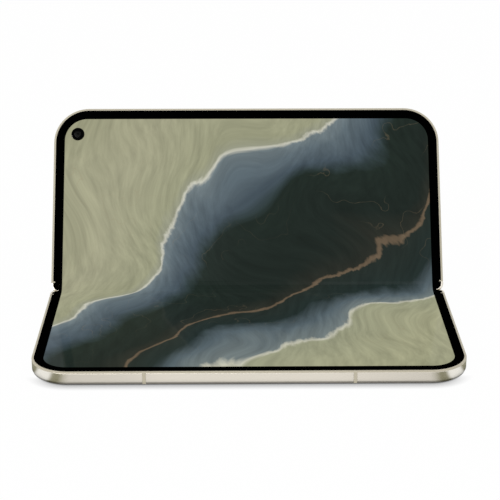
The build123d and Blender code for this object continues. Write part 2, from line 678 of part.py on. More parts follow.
def sim_tray():
    """Card tray with its door, plate and two card pockets."""
    length, wide, thick = TRAY_PLATE
    start = HALF_LENGTH - TRAY_DOOR[0]
    door = stadium(TRAY_DOOR[1], TRAY_DOOR[2], start, HALF_LENGTH, TRAY_Y, TRAY_Z)
    eject = Pos(TRAY_Y - wide / 2 - EJECT_PAST, TRAY_Z) * Circle(EJECT_RADIUS)
    door -= along_x(eject, start - OVER, HALF_LENGTH + OVER)
    plate = block((start - length, start + TINY), (TRAY_Y - wide / 2, TRAY_Y + wide / 2),
                  (TRAY_Z - thick / 2, TRAY_Z + thick / 2))
    for side in (-1, 1):
        spot = (start - TRAY_CARD_IN - TRAY_CARD[0] / 2, TRAY_Y, TRAY_Z + side * thick / 2)
        plate -= Pos(*spot) * Box(*TRAY_CARD)
    return door + plate


def sim_reader():
    """Sheet-metal cage that the tray slides into."""
    length, wide, thick = TRAY_PLATE
    start = HALF_LENGTH - TRAY_DOOR[0] - length - READER_STOP
    end = INNER_HALF - READER_SHEET
    half, tall = wide / 2 + READER_GAP, thick / 2 + READER_GAP
    side = half + READER_SHEET
    outer = block((start, end), (TRAY_Y - side, TRAY_Y + side),
                  (TRAY_Z - tall - READER_SHEET, PLATE_UNDER - FIT))
    inner = block((start + READER_SHEET, end + OVER), (TRAY_Y - half, TRAY_Y + half),
                  (TRAY_Z - tall, TRAY_Z + tall))
    return outer - inner


# ------------------------------------------------------------------ cameras
def punch_hole():
    """Hole in the display and the plate for the inner camera."""
    return disc(PUNCH_RADIUS, INNER_CAMERA, PLATE_UNDER - OVER, OVER)


def hung_block(size, middle):
    """Block of a given size that hangs under the middle plate."""
    top = PLATE_UNDER - FIT
    return Pos(middle[0], middle[1], top - size[2] / 2) * Box(*size)


def inner_camera():
    """Inner camera: square body behind the plate, barrel up through it, its small lens sunk in a bore."""
    barrel = disc(PUNCH_RADIUS - FIT, INNER_CAMERA, PLATE_UNDER - FIT - TINY, DISPLAY_TOP - 2 * FIT)
    bore = disc(INNER_LENS_RADIUS, INNER_CAMERA, DISPLAY_TOP - 4 * FIT, OVER)
    return hung_block(INNER_BODY, INNER_CAMERA) + barrel - bore


def island_plan(inset=0.0):
    """Rounded rectangle of the camera housing."""
    outline = RectangleRounded(ISLAND_SIZE[0] - 2 * inset, ISLAND_SIZE[1] - 2 * inset, ISLAND_RADIUS - inset)
    return Pos(ISLAND_X, ISLAND_Y) * outline


def rear_cameras():
    """Name, middle, barrel radius and body side of each rear camera."""
    near, far = ISLAND_X - LENS_SPACING / 2, ISLAND_X + LENS_SPACING / 2
    return [("wide_camera", (near, ISLAND_Y + WIDE_UP), *WIDE_LENS),
            ("ultrawide_camera", (near, ISLAND_Y + ULTRAWIDE_UP), *ULTRAWIDE_LENS),
            ("tele_camera", (far, ISLAND_Y + TELE_UP), *TELE_LENS)]


def flash_spots():
    """Middles of the flash and of the ranging sensor beside it."""
    return [(ISLAND_X + LENS_SPACING / 2, ISLAND_Y + up) for up in FLASH_UP]


def camera_housing():
    """Metal housing of the rear cameras, standing out of the glass, with a seat for its window."""
    body = slab(island_plan(), ISLAND_BACK, GLASS_TOP)
    body = chamfer(body.faces().sort_by(Axis.Z)[0].edges(), ISLAND_EDGE)
    body -= slab(island_plan(WINDOW_INSET - FIT), ISLAND_BACK - OVER, ISLAND_BACK + WINDOW_THICK)
    return body - slab(island_plan(WINDOW_INSET + WINDOW_LEDGE), ISLAND_BACK, OVER)


def camera_window():
    """The dark pane that all rear cameras look through."""
    return slab(island_plan(WINDOW_INSET), ISLAND_BACK, ISLAND_BACK + WINDOW_THICK - FIT)


def rear_camera(middle, radius, side):
    """Rear camera: square body in the half and a barrel that runs out behind the window."""
    front = ISLAND_BACK + WINDOW_THICK + FIT
    barrel = disc(radius, middle, front, PLATE_UNDER - FIT - REAR_BODY_TALL + TINY)
    return hung_block((side, side, REAR_BODY_TALL), middle) + barrel


def flash_unit():
    """Round flash and square ranging sensor on one small board, carried on a stem."""
    edge, thick = FLASH_BOARD
    front = ISLAND_BACK + WINDOW_THICK + FIT
    floor = front + FLASH_TALL
    (x, last), (_, first) = flash_spots()
    board = block((x - edge, x + edge), (first - edge, last + edge), (floor, floor + thick))
    flash = disc(FLASH_RADIUS, (x, last), front, floor + TINY)
    half = SENSOR_SIDE / 2
    sensor = block((x - half, x + half), (first - half, first + half), (front, floor + TINY))
    stem = block((x - half, x + half), (first - half, last + half), (floor + thick - TINY, PLATE_UNDER - FIT))
    return joined([board, flash, sensor, stem])


def cover_camera():
    """Camera behind the cover glass of the lower half."""
    barrel = disc(COVER_BARREL, COVER_CAMERA, GLASS_TOP + FIT, PLATE_UNDER - FIT - COVER_BODY[2] + TINY)
    return hung_block(COVER_BODY, COVER_CAMERA) + barrel


# ------------------------------------------------------------------ inside the halves
def between(ribs, side):
    """Limits along X of the bay before, between or after two ribs, less a gap."""
    left, right = ribs
    edges = [-INNER_HALF, left - RIB / 2, left + RIB / 2, right - RIB / 2, right + RIB / 2, INNER_HALF]
    return (edges[2 * side] + INNER_GAP, edges[2 * side + 1] - INNER_GAP)


def battery(ribs):
    """Pouch cell that fills the middle bay."""
    y = (RAIL_END + INNER_GAP, INNER_EDGE - INNER_GAP - CELL_FROM_EDGE)
    cell = block(between(ribs, 1), y, (GLASS_TOP + SHEET + INNER_GAP, PLATE_UNDER - FIT))
    return chamfer(cell.faces().sort_by(Axis.Z)[0].edges(), CELL_EDGE)


def charging_coil():
    """Flat charging coil between battery and glass."""
    middle = (sum(between(UPPER_RIBS, 1)) / 2, (RAIL_END + INNER_EDGE) / 2)
    hole, outside = (RegularPolygon(radius, COIL_SIDES) for radius in COIL_RADII)
    return slab(Pos(*middle) * (outside - hole), GLASS_TOP + TINY, GLASS_TOP + SHEET)


def board_arm():
    """Limits along X of the main board's arm, beside the cameras."""
    return (ISLAND_X + ISLAND_SIZE[0] / 2 + 2 * INNER_GAP, between(UPPER_RIBS, 0)[1])


def main_board():
    """L-shaped main board beside the cameras."""
    low, high = between(UPPER_RIBS, 0)
    start = RAIL_END + INNER_GAP
    foot = block((low, high), (start, ISLAND_Y - ISLAND_SIZE[1] / 2 - INNER_GAP), MAIN_BOARD_Z)
    arm = block(board_arm(), (start, INNER_EDGE - MAIN_BOARD_EDGE), MAIN_BOARD_Z)
    return foot + arm


def board_shields():
    """Shield cans on both faces of the main board."""
    start, arm = RAIL_END + SHIELD_FIRST, board_arm()
    left = between(UPPER_RIBS, 0)[0] + SHIELD_IN
    column = (arm[0] + INNER_GAP, arm[1] - INNER_GAP)
    *wide, deep = WIDE_SHIELD
    cans = []
    for width, tall, z in ((wide[0], TALL_SHIELD[0], (MAIN_BOARD_Z[1], PLATE_UNDER - FIT)),
                           (wide[1], TALL_SHIELD[1], (SHIELD_UNDER, MAIN_BOARD_Z[0]))):
        cans.append(block((left, left + width), (start, start + deep), z))
        cans.append(block(column, (start, start + tall), z))
    return cans


def tail_board():
    """Small board behind the socket."""
    low, high = between(UPPER_RIBS, 2)
    end = HALF_LENGTH - SOCKET_BACK - SOCKET_DEEP - INNER_GAP
    return block((low, min(high, end)), (RAIL_END + TAIL_BOARD_IN, INNER_EDGE - TAIL_BOARD_IN), TAIL_BOARD_Z)


def speaker(middle):
    """Loudspeaker box with the well of its cone on the side of the glass."""
    box = hung_block(SPEAKER_SIZE, middle)
    well = Pos(*middle, PLATE_UNDER - FIT - SPEAKER_SIZE[2]) * Box(*SPEAKER_CONE)
    return box - well


def haptic_motor():
    """Linear vibration motor near the corner."""
    low = between(UPPER_RIBS, 2)[0]
    return hung_block(MOTOR_SIZE, (low + MOTOR_IN[0], INNER_EDGE - MOTOR_IN[1]))


def lower_board():
    """Board of the lower half, round the speaker and the cover camera."""
    low, high = between(LOWER_RIBS, 0)
    foot = block((low + LOWER_BOARD_IN, high), (RAIL_END + INNER_GAP, INNER_EDGE - INNER_GAP), LOWER_BOARD_Z)
    arm = block((low, high), (INNER_EDGE - LOWER_ARM[0], INNER_EDGE - LOWER_ARM[1]), LOWER_BOARD_Z)
    return foot + arm


def lower_shields():
    """Shield cans of the lower board."""
    low, high = between(LOWER_RIBS, 0)
    x = (low + LOWER_BOARD_IN + INNER_GAP, high - INNER_GAP)
    under, over = LOWER_BOARD_Z
    spans = [(RAIL_END + start, RAIL_END + end) for start, end in LOWER_SHIELDS]
    return [block(x, spans[0], (LOWER_SHIELD_UNDER, under)), block(x, spans[1], (over, PLATE_UNDER - FIT))]


def cover_display():
    """Rigid outer display behind the cover glass."""
    outline = plan(WALL + INNER_GAP, RAIL_END + INNER_GAP)
    panel = slab(outline, GLASS_TOP + TINY, GLASS_TOP + SHEET)
    return panel - disc(COVER_HOLE, COVER_CAMERA, -THICKNESS, 0)


# ------------------------------------------------------------------ the two halves as drawn flat
def upper_frame():
    """Frame of the half with the keys, the rear cameras and the charging socket."""
    body = frame(UPPER_RIBS)
    body -= key_hole(POWER_X, POWER_LENGTH, POWER_LENGTH + KEY_FLANGE_LIP)
    body -= key_hole(VOLUME_X, VOLUME_LENGTH, VOLUME_FLANGE)
    body -= socket_mouth()
    body -= punch_hole()
    for slot in grille(1):
        body -= slot
    return body


def lower_frame():
    """Frame of the half that lies on the table, with the card tray."""
    body = frame(LOWER_RIBS) - tray_slot() - microphone()
    for slot in grille(-1):
        body -= slot
    return body


def modules(parts):
    """Pieces of one hinge module, set at both ends of the hinge."""
    placed = []
    for part in parts:
        placed += both_ends(Pos(MODULE_X, 0, 0) * part)
    return placed


def upper_half():
    """Pieces of the half that leans back."""
    rear = rear_glass() - slab(island_plan(-FIT), -THICKNESS - OVER, GLASS_TOP + OVER)
    speaker_x = between(UPPER_RIBS, 2)[1] - SPEAKER_SIZE[0] / 2
    pieces = {
        "upper_frame": [upper_frame()],
        "upper_rim": [rim()],
        "upper_bezel": [bezel()],
        "inner_display_upper": [display_flat() - punch_hole()],
        "inner_camera": [inner_camera()],
        "back_glass": [rear],
        "camera_housing": [camera_housing()],
        "camera_window": [camera_window()],
        "flash_unit": [flash_unit()],
        "upper_battery": [battery(UPPER_RIBS)],
        "charging_coil": [charging_coil()],
        "main_board": [main_board()],
        "board_shields": board_shields(),
        "tail_board": [tail_board()],
        "charging_socket": [socket()],
        "main_speaker": [speaker((speaker_x, SPEAKER_Y))],
        "haptic_motor": [haptic_motor()],
        "key_switches": [key_switches()],
        "power_key": [key(POWER_X, POWER_LENGTH, POWER_LENGTH + KEY_FLANGE_LIP)],
        "volume_key": [key(VOLUME_X, VOLUME_LENGTH, VOLUME_FLANGE)],
        "upper_hinge_brackets": modules([bracket(UPPER_TONGUE_X, UPPER_SECTOR_X, MESH_ANGLE + 15)]),
        "upper_bracket_screws": modules(bracket_screws()),
    }
    for name, middle, radius, size in rear_cameras():
        pieces[name] = [rear_camera(middle, radius, size)]
    return pieces


def lower_half():
    """Pieces of the half that lies on the table, drawn on the upper half's side."""
    speaker_x = between(LOWER_RIBS, 0)[0] + SPEAKER_SIZE[0] / 2
    return {
        "lower_frame": [lower_frame()],
        "lower_rim": [rim()],
        "lower_bezel": [bezel()],
        "inner_display_lower": [display_flat()],
        "cover_glass": [rear_glass()],
        "cover_display": [cover_display()],
        "cover_camera": [cover_camera()],
        "lower_battery": [battery(LOWER_RIBS)],
        "lower_board": [lower_board()],
        "lower_shields": lower_shields(),
        "lower_speaker": [speaker((speaker_x, SPEAKER_Y))],
        "sim_reader": [sim_reader()],
        "sim_tray": [sim_tray()],
        "lower_hinge_brackets": modules([bracket(LOWER_TONGUE_X, LOWER_SECTOR_X, MESH_ANGLE)]),
        "lower_bracket_screws": modules(bracket_screws()),
    }


def spine():
    """Pieces that stay with the spine."""
    return {
        "spine_cover": [spine_cover()],
        "hinge_blocks": modules([hinge_block()]),
        "block_screws": modules(block_screws()),
        "gear_pins": modules(gear_pins()),
        "upper_idlers": modules([idler(1)]),
        "lower_idlers": modules([idler(-1)]),
        "display_bend": [display_bend()],
    }


# ------------------------------------------------------------------ standing pose
def turned_about(y, angle):
    """Turn about a hinge axis at the given place across the hinge."""
    return Pos(0, y, -AXIS_DEPTH) * Rot(angle, 0, 0) * Pos(0, -y, AXIS_DEPTH)


def main():
    """Write every piece in the standing pose, with the origin in the middle of the face it rests on."""
    table = Pos(0, (HALF_WIDTH + HINGE_END) / 2, THICKNESS)
    half_way = table * turned_about(-AXIS_OFFSET, REST_TURN)
    upright = half_way * turned_about(AXIS_OFFSET, REST_TURN)
    flat_lower = {name: [mirrored(part) for part in parts] for name, parts in lower_half().items()}
    os.makedirs("parts", exist_ok=True)
    for place, group in ((table, flat_lower), (half_way, spine()), (upright, upper_half())):
        for name, parts in group.items():
            solids = [solid for part in parts for solid in (place * part).solids()]
            whole = solids[0] if len(solids) == 1 else Compound(children=solids)
            export_step(whole, f"parts/{name}.step")


main()
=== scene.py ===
# %% [markdown]
# A folding phone, half open
#
# This script dresses a phone that was drawn in CAD. The CAD gives every part its exact place, so nothing is fitted
# by eye here. What is added are finishes, lighting, and the small details that are too fine or too soft for a solid
# model: the unbroken flexible screen, lens glass, speaker cloth, gold contacts, wound copper and threaded screws.

# %% Load the phone
import math

import bmesh
import bpy
from mathutils import Matrix, Vector
from mathutils.geometry import tessellate_polygon


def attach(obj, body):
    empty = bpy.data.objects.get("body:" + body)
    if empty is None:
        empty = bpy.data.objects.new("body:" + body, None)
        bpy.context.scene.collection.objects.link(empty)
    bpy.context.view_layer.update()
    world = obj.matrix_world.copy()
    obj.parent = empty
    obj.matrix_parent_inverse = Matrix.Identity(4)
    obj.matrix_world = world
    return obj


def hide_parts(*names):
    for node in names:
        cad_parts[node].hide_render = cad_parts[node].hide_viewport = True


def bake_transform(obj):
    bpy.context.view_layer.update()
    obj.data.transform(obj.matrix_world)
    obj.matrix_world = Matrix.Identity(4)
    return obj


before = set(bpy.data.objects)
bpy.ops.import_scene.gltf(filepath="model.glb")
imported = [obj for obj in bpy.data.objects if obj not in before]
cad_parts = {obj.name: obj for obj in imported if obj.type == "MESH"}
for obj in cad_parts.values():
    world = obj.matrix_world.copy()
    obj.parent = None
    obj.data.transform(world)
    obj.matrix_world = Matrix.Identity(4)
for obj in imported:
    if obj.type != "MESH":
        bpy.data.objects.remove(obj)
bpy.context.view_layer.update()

# %% [markdown]
# Two ways of measuring
#
# Each half was drawn lying flat, with X along the hinge, Y from the hinge line outwards and Z up from the rim. Here
# the halves stand at 122 degrees. A point that is known on the flat drawing therefore has to be turned to its
# standing place. One matrix for each half does that, and another one for the spine between them. The lower half is
# a mirror image, so its matrix mirrors too, and a mesh put through it has its faces turned the right way afterwards.

# %% From the flat drawing to the standing phone
MM = 0.001
HALF_OPEN = math.radians(58)  # how far the upper half is turned up from lying flat
SPINE_OPEN = HALF_OPEN / 2
HALF_WIDTH = 75.1
UPPER_LINE, LOWER_LINE = (36.998, 4.752), (37.625, 5.1)  # where the rims end at the hinge: Y and Z
AXIS_OFFSET, AXIS_DEPTH = 1.2, 1.05  # the two hinge axes, from that line and below the rim
LOWER_AXIS = Vector((0, LOWER_LINE[0] - AXIS_OFFSET, LOWER_LINE[1] - AXIS_DEPTH))


def standing(turn, line):
    """Matrix that turns a flat drawing in millimetres about X and sets it in place, in metres."""
    move = Matrix.Translation(Vector((0, *line)) * MM)
    return move @ Matrix.Rotation(turn, 4, "X") @ Matrix.Scale(MM, 4)


UPPER = standing(HALF_OPEN, UPPER_LINE)
LOWER = standing(0, LOWER_LINE) @ Matrix.Scale(-1, 4, Vector((0, 1, 0)))
SPINE = (Matrix.Translation(LOWER_AXIS * MM) @ Matrix.Rotation(SPINE_OPEN, 4, "X") @ Matrix.Scale(MM, 4)
         @ Matrix.Translation(Vector((0, AXIS_OFFSET, AXIS_DEPTH))))
PLACES = {"upper_half": UPPER, "lower_half": LOWER, "spine": SPINE}
print("the free edge stands", round((UPPER @ Vector((0, HALF_WIDTH, 0))).z / MM, 1), "mm high")

# %% [markdown]
# The camera
#
# The phone was photographed from about half a metre, a little above and almost square on. A long lens keeps its
# sides nearly parallel. The position and lens were worked out from the corners of the lit area.

# %% Camera
EYE = Vector((-0.00596, -0.50144, 0.22668))
PITCH, YAW, ROLL = math.radians(20.80), math.radians(0.737), math.radians(0.049)
SENSOR_WIDTH, LENS = 36.0, 105.96
camera_data = bpy.data.cameras.new("studio_camera")
camera_data.sensor_width, camera_data.lens, camera_data.clip_start = SENSOR_WIDTH, LENS, 0.02
camera = bpy.data.objects.new("studio_camera", camera_data)
bpy.context.scene.collection.objects.link(camera)
aim = Matrix.Rotation(-YAW, 4, "Z") @ Matrix.Rotation(math.pi / 2 - PITCH, 4, "X") @ Matrix.Rotation(ROLL, 4, "Z")
camera.matrix_world = Matrix.Translation(EYE) @ aim
bpy.context.scene.camera = camera
bpy.context.scene.view_settings.view_transform = "Standard"
print("camera", round(math.degrees(camera_data.angle), 2), "degrees wide")

# %% [markdown]
# Node helpers
#
# A finish is a small network of nodes. A few short functions save a lot of typing: one makes a node, sets what it is
# told and joins what it is given, and the others do the same for arithmetic, noise, ramps and mixtures.


# %% Helpers for nodes
def feed(tree, target, inputs):
    """Gives a node its inputs: a socket is linked, and any other value is set."""
    for socket, value in inputs.items():
        if isinstance(value, bpy.types.NodeSocket):
            tree.links.new(value, target.inputs[socket])
        else:
            target.inputs[socket].default_value = value


def node(tree, kind, inputs=None, **settings):
    """Makes a node with its settings and its inputs."""
    made = tree.nodes.new(kind)
    for name, value in settings.items():
        setattr(made, name, value)
    feed(tree, made, inputs or {})
    return made


def maths(tree, operation, *values, clamp=False):
    """One step of arithmetic, and the socket that holds its result."""
    return node(tree, "ShaderNodeMath", dict(enumerate(values)), operation=operation, use_clamp=clamp).outputs[0]


def times(tree, first, second):
    """The product of two numbers or sockets."""
    return maths(tree, "MULTIPLY", first, second)


def vector_maths(tree, operation, *values, result="Vector"):
    """Arithmetic with vectors."""
    return node(tree, "ShaderNodeVectorMath", dict(enumerate(values)), operation=operation).outputs[result]


def rescaled(tree, vector, share):
    """A vector or a colour times a number."""
    return node(tree, "ShaderNodeVectorMath", {0: vector, "Scale": share}, operation="SCALE").outputs[0]


def remapped(tree, value, span, reach=(0.0, 1.0)):
    """A number that runs from one end of reach to the other as the value runs over span."""
    ends = dict(zip(("From Min", "From Max", "To Min", "To Max"), (*span, *reach)))
    return node(tree, "ShaderNodeMapRange", {"Value": value, **ends}).outputs["Result"]


def paint(red, green, blue):
    """A colour as a picture file writes it, 0 to 255, turned into the linear light that Blender reckons with."""
    light = [part / 255 for part in (red, green, blue)]
    return tuple(c / 12.92 if c <= 0.04045 else ((c + 0.055) / 1.055) ** 2.4 for c in light) + (1.0,)


def scaled(colour, share):
    """The same colour, darker or lighter."""
    return tuple(part * share for part in colour[:3]) + (1.0,)


def mixed(tree, factor, first, second):
    """A colour between two colours."""
    return node(tree, "ShaderNodeMix", {"Factor": factor, 6: first, 7: second}, data_type="RGBA").outputs[2]


def ramped(tree, factor, stops):
    """The colour at a factor on a ramp, which is given by the places and colours of its stops."""
    made = node(tree, "ShaderNodeValToRGB", {"Fac": factor})
    elements = made.color_ramp.elements
    while len(elements) < len(stops):
        elements.new(0.5)
    for element, (spot, colour) in zip(elements, stops):
        element.position, element.color = spot, colour
    return made.outputs["Color"]


def painted(stops):
    """Stops of a ramp whose colours are written as a picture file writes them."""
    return [(spot, paint(*colour)) for spot, colour in stops]


def emptied(owner):
    """The node tree of a new world or material, with nothing in it."""
    owner.use_nodes = True
    owner.node_tree.nodes.clear()
    return owner.node_tree


def new_finish(name):
    """A material with one Principled shader, its tree, and that shader."""
    material = bpy.data.materials.new(name)
    tree = emptied(material)
    shader = node(tree, "ShaderNodeBsdfPrincipled")
    node(tree, "ShaderNodeOutputMaterial", {"Surface": shader.outputs[0]})
    return material, tree, shader


def noise(tree, scale, detail, vector=None, rough=0.5, flat=False, result="Fac"):
    """Noise on the object's own coordinates or on a given vector, with its blobs sized by scale."""
    if vector is None:
        vector = node(tree, "ShaderNodeTexCoord").outputs["Object"]
    inputs = {"Vector": vector, "Scale": scale, "Detail": detail, "Roughness": rough}
    return node(tree, "ShaderNodeTexNoise", inputs, noise_dimensions="2D" if flat else "3D").outputs[result]


def between(tree, factor, low, high):
    """A number that runs from low to high over the middle of a noise, where most of it lies."""
    return remapped(tree, factor, (0.3, 0.7), (low, high))


# %% [markdown]
# Studio and floor
#
# Product photographs of phones are lit by large soft boxes from all sides, on white. A white world stands for the
# boxes. The camera, mirrors and glass see it at full white, while it lights the phone a little less, which leaves
# room for two soft lamps, one in front and one behind. The floor is matt white card. Where it is looked at, a Light
# Path node tops it up to white, so that no extra light reaches the phone. An Ambient Occlusion node holds that
# white back within a few millimetres of the phone, where real card darkens: a painted contact shadow, kept to the
# front of the phone for the camera, and painted deeper and all round it where the frame's lower edge mirrors it.
# Dark and bright stripes are painted into the floor at the phone's front corners, seen only in its metal: a painted
# reflection, with a painted highlight among the stripes, that gives the rounded corners the look by which an eye
# knows metal. Towards the phone's ends this painted reflection is a little darker. The stripes are laid out by
# their bearing, which counts half turns from straight ahead of a corner to straight behind it.

# %% Studio and floor
WHITE = (1.0, 1.0, 1.0, 1.0)
AMBIENT = 0.72  # strength of the world's light where it falls on the phone
FLOOR_HALF, FLOOR_DROP = 3.0, 0.00005
CONTACT, TOP_UP = 0.0042, 0.97  # reach of the contact shadow, and how far the floor is topped up to white
# Painted contact shadow: for the camera only in front of the phone; the metal mirrors it painted deeper all round
PAINTED_SHADOW_Y = (-0.030, -0.038)  # the shadow starts beside the phone and is full in front of it
MIRRORED_PAINTED_SHADOW = 1.9  # how much deeper the metal sees it
CORNER_X, CORNER_Y = 0.0636, -0.0235
# Painted reflection: grey stripes and a painted highlight brighter than white, seen only in the metal's corners
PAINTED_SOFT_GREY, PAINTED_SIDE_GREY = (0.88, 0.883, 0.852, 1), (0.45, 0.461, 0.369, 1)
PAINTED_DARK_STRIPE, PAINTED_HIGHLIGHT = (0.36, 0.36, 0.255, 1), (1.36, 1.41, 1.47, 1)
PAINTED_REFLECTION_STOPS = [(0.0, WHITE), (0.04, PAINTED_SOFT_GREY), (0.110, PAINTED_DARK_STRIPE), (0.178, PAINTED_DARK_STRIPE), (0.222, PAINTED_HIGHLIGHT),
         (0.385, PAINTED_HIGHLIGHT), (0.44, PAINTED_DARK_STRIPE), (0.60, PAINTED_SIDE_GREY)]
# Painted shade in the reflection: the metal sees the floor a little darker towards the phone's ends
REFLECTION_SHADE_X, REFLECTION_SHADE_TO = (0.03, 0.066), 0.82  # the metal sees the floor a little darker towards the phone's ends
LAMPS_AIM = Vector((0, 0.02, 0.02))


def looked_at(tree):
    """1 for a ray that the camera, a mirror or a glass sends, and 0 for light that falls on a surface."""
    path = node(tree, "ShaderNodeLightPath").outputs
    seen = maths(tree, "MAXIMUM", path["Is Camera Ray"], path["Is Glossy Ray"])
    return maths(tree, "MAXIMUM", seen, path["Is Transmission Ray"])


def soft_lamp(name, place, size, power):
    """A square soft lamp that faces the phone."""
    lamp = bpy.data.lights.new(name, "AREA")
    lamp.shape, lamp.size, lamp.energy = "SQUARE", size, power
    holder = bpy.data.objects.new(name, lamp)
    bpy.context.scene.collection.objects.link(holder)
    toward = (LAMPS_AIM - Vector(place)).to_track_quat("-Z", "Y")
    holder.matrix_world = Matrix.Translation(place) @ toward.to_matrix().to_4x4()


world = bpy.data.worlds.new("studio")
bpy.context.scene.world = world
sky = emptied(world)
ambient, full = (node(sky, "ShaderNodeBackground", {"Color": WHITE, "Strength": strength}).outputs[0]
                 for strength in (AMBIENT, 1.0))
both = node(sky, "ShaderNodeMixShader", {0: looked_at(sky), 1: ambient, 2: full})
node(sky, "ShaderNodeOutputWorld", {"Surface": both.outputs[0]})

paper = bpy.data.materials.new("studio_paper")
sheet = emptied(paper)
spot = node(sheet, "ShaderNodeSeparateXYZ", {0: node(sheet, "ShaderNodeTexCoord").outputs["Object"]}).outputs
off_middle = maths(sheet, "ABSOLUTE", spot["X"])
sideways = maths(sheet, "SUBTRACT", off_middle, CORNER_X)
forward = maths(sheet, "SUBTRACT", CORNER_Y, spot["Y"])
bearing = maths(sheet, "DIVIDE", maths(sheet, "ARCTAN2", sideways, forward), math.pi)
# painted reflection: the stripes and highlight, darkened towards the phone's ends
painted_reflection = rescaled(sheet, ramped(sheet, bearing, PAINTED_REFLECTION_STOPS), remapped(sheet, off_middle, REFLECTION_SHADE_X, (1.0, REFLECTION_SHADE_TO)))
in_metal = node(sheet, "ShaderNodeLightPath").outputs["Is Glossy Ray"]
# painted contact shadow: Ambient Occlusion darkens the floor's glow, deeper in what the metal sees
openness = node(sheet, "ShaderNodeAmbientOcclusion", {"Distance": CONTACT}, samples=12).outputs["AO"]
depth = maths(sheet, "MAXIMUM", remapped(sheet, spot["Y"], PAINTED_SHADOW_Y), times(sheet, in_metal, MIRRORED_PAINTED_SHADOW))
shaded = rescaled(sheet, mixed(sheet, in_metal, WHITE, painted_reflection), maths(sheet, "POWER", openness, depth))
matt = node(sheet, "ShaderNodeBsdfDiffuse", {"Color": (0.95, 0.95, 0.95, 1)}).outputs[0]
glow = node(sheet, "ShaderNodeEmission", {"Color": shaded, "Strength": 1.0}).outputs[0]
both = node(sheet, "ShaderNodeMixShader", {0: times(sheet, looked_at(sheet), TOP_UP), 1: matt, 2: glow})
node(sheet, "ShaderNodeOutputMaterial", {"Surface": both.outputs[0]})

floor_mesh = bpy.data.meshes.new("studio_floor")
corners = [(x * FLOOR_HALF, y * FLOOR_HALF, 0) for x, y in ((-1, -1), (1, -1), (1, 1), (-1, 1))]
floor_mesh.from_pydata(corners, [], [(0, 1, 2, 3)])
floor_mesh.materials.append(paper)
floor = bpy.data.objects.new("studio_floor", floor_mesh)
floor.location.z = -FLOOR_DROP
bpy.context.scene.collection.objects.link(floor)
soft_lamp("key_lamp", (-0.5, -1.1, 0.8), 0.9, 6.5)
soft_lamp("back_lamp", (0.6, 0.9, 1.2), 0.8, 2.0)
print("studio ready")

# %% [markdown]
# The satin metal of the frame
#
# The frame is aluminium, blasted with fine beads and then anodised in a pale champagne tone. Blasting leaves a grain
# of a few hundredths of a millimetre, far too fine to model, so a noise drives a very small bump, and a second,
# slower noise lets the gloss wander as it does where hands have been. The Bevel node rounds the shading of hard
# edges, which is how machined edges catch a line of light.


# %% Metal finishes
def metal(name, colour, rough, grain=9000.0, depth=0.000002, edge=0.0002, streak=(1, 1, 1), spread=0.05):
    """A metal: its grain per metre, the depth of that grain, its rounded edges, and the way it is brushed."""
    material, tree, shader = new_finish(name)
    place = node(tree, "ShaderNodeTexCoord").outputs["Object"]
    run = node(tree, "ShaderNodeMapping", {"Vector": place, "Scale": streak}).outputs[0]
    slow = noise(tree, 55.0, 3.0, place)
    rounded = node(tree, "ShaderNodeBevel", {"Radius": edge}, samples=6).outputs[0]
    bump = node(tree, "ShaderNodeBump", {"Height": noise(tree, grain, 2.0, run), "Distance": depth, "Strength": 0.5,
                                         "Normal": rounded})
    feed(tree, shader, {"Metallic": 1.0, "Base Color": mixed(tree, slow, scaled(colour, 0.97), scaled(colour, 1.02)),
                        "Roughness": between(tree, slow, rough - spread / 2, rough + spread / 2),
                        "Normal": bump.outputs[0]})
    return material


CHAMPAGNE = (0.740, 0.692, 0.602, 1.0)
satin_frame = metal("satin_frame", CHAMPAGNE, 0.24, edge=0.00035)
satin_key = metal("satin_key", scaled(CHAMPAGNE, 1.02), 0.26, edge=0.00012)
polished_housing = metal("polished_housing", scaled(CHAMPAGNE, 0.96), 0.16, depth=0.000001, edge=0.0003)
dark_spine = metal("dark_spine", (0.16, 0.15, 0.13, 1.0), 0.32, edge=0.0002)
hinge_steel = metal("hinge_steel", (0.50, 0.50, 0.49, 1.0), 0.28, 4000.0, 0.000003, 0.00008, (0.05, 1, 1))
shield_steel = metal("shield_steel", (0.62, 0.61, 0.58, 1.0), 0.34, 2500.0, 0.000004, 0.0001, (1, 0.08, 1))
motor_steel = metal("motor_steel", (0.55, 0.55, 0.54, 1.0), 0.3, 3000.0, 0.000003, 0.0002, (0.1, 1, 1))
screw_steel = metal("screw_steel", (0.33, 0.33, 0.34, 1.0), 0.3, 8000.0, 0.000001, 0.00004)
wound_copper = metal("wound_copper", (0.76, 0.42, 0.25, 1.0), 0.24, 5000.0, 0.000001, 0.00003)
gold_plate = metal("gold_plate", (0.86, 0.64, 0.30, 1.0), 0.2, 6000.0, 0.0000005, 0.00002)
cell_foil = metal("cell_foil", (0.17, 0.17, 0.18, 1.0), 0.42, 900.0, 0.00003, 0.0003, spread=0.12)
print("metal finishes made")

# %% [markdown]
# Plastics, boards and glass
#
# The rim round the screen and the antenna bands are a glass-filled nylon, coloured to match the frame but matt. The
# trim that hides the panel's edge is dyed black and drinks nearly all light. A matt skin needs a little bump to
# break up its shine, and a glass needs none, only a trace of unevenness in its gloss.


# %% Moulded and glass finishes
def moulded(name, colour, rough, grain=5000.0, depth=0.000006, shine=0.4, spread=0.06, tone_share=0.06):
    """A plastic or other non-metal skin."""
    material, tree, shader = new_finish(name)
    slow = noise(tree, 90.0, 3.0)
    bump = node(tree, "ShaderNodeBump", {"Height": noise(tree, grain, 3.0), "Distance": depth, "Strength": 0.6})
    feed(tree, shader, {"Base Color": mixed(tree, slow, scaled(colour, 1 - tone_share), scaled(colour, 1 + tone_share)),
                        "Specular IOR Level": shine,
                        "Roughness": between(tree, slow, rough - spread / 2, rough + spread / 2),
                        "Normal": bump.outputs[0]})
    return material


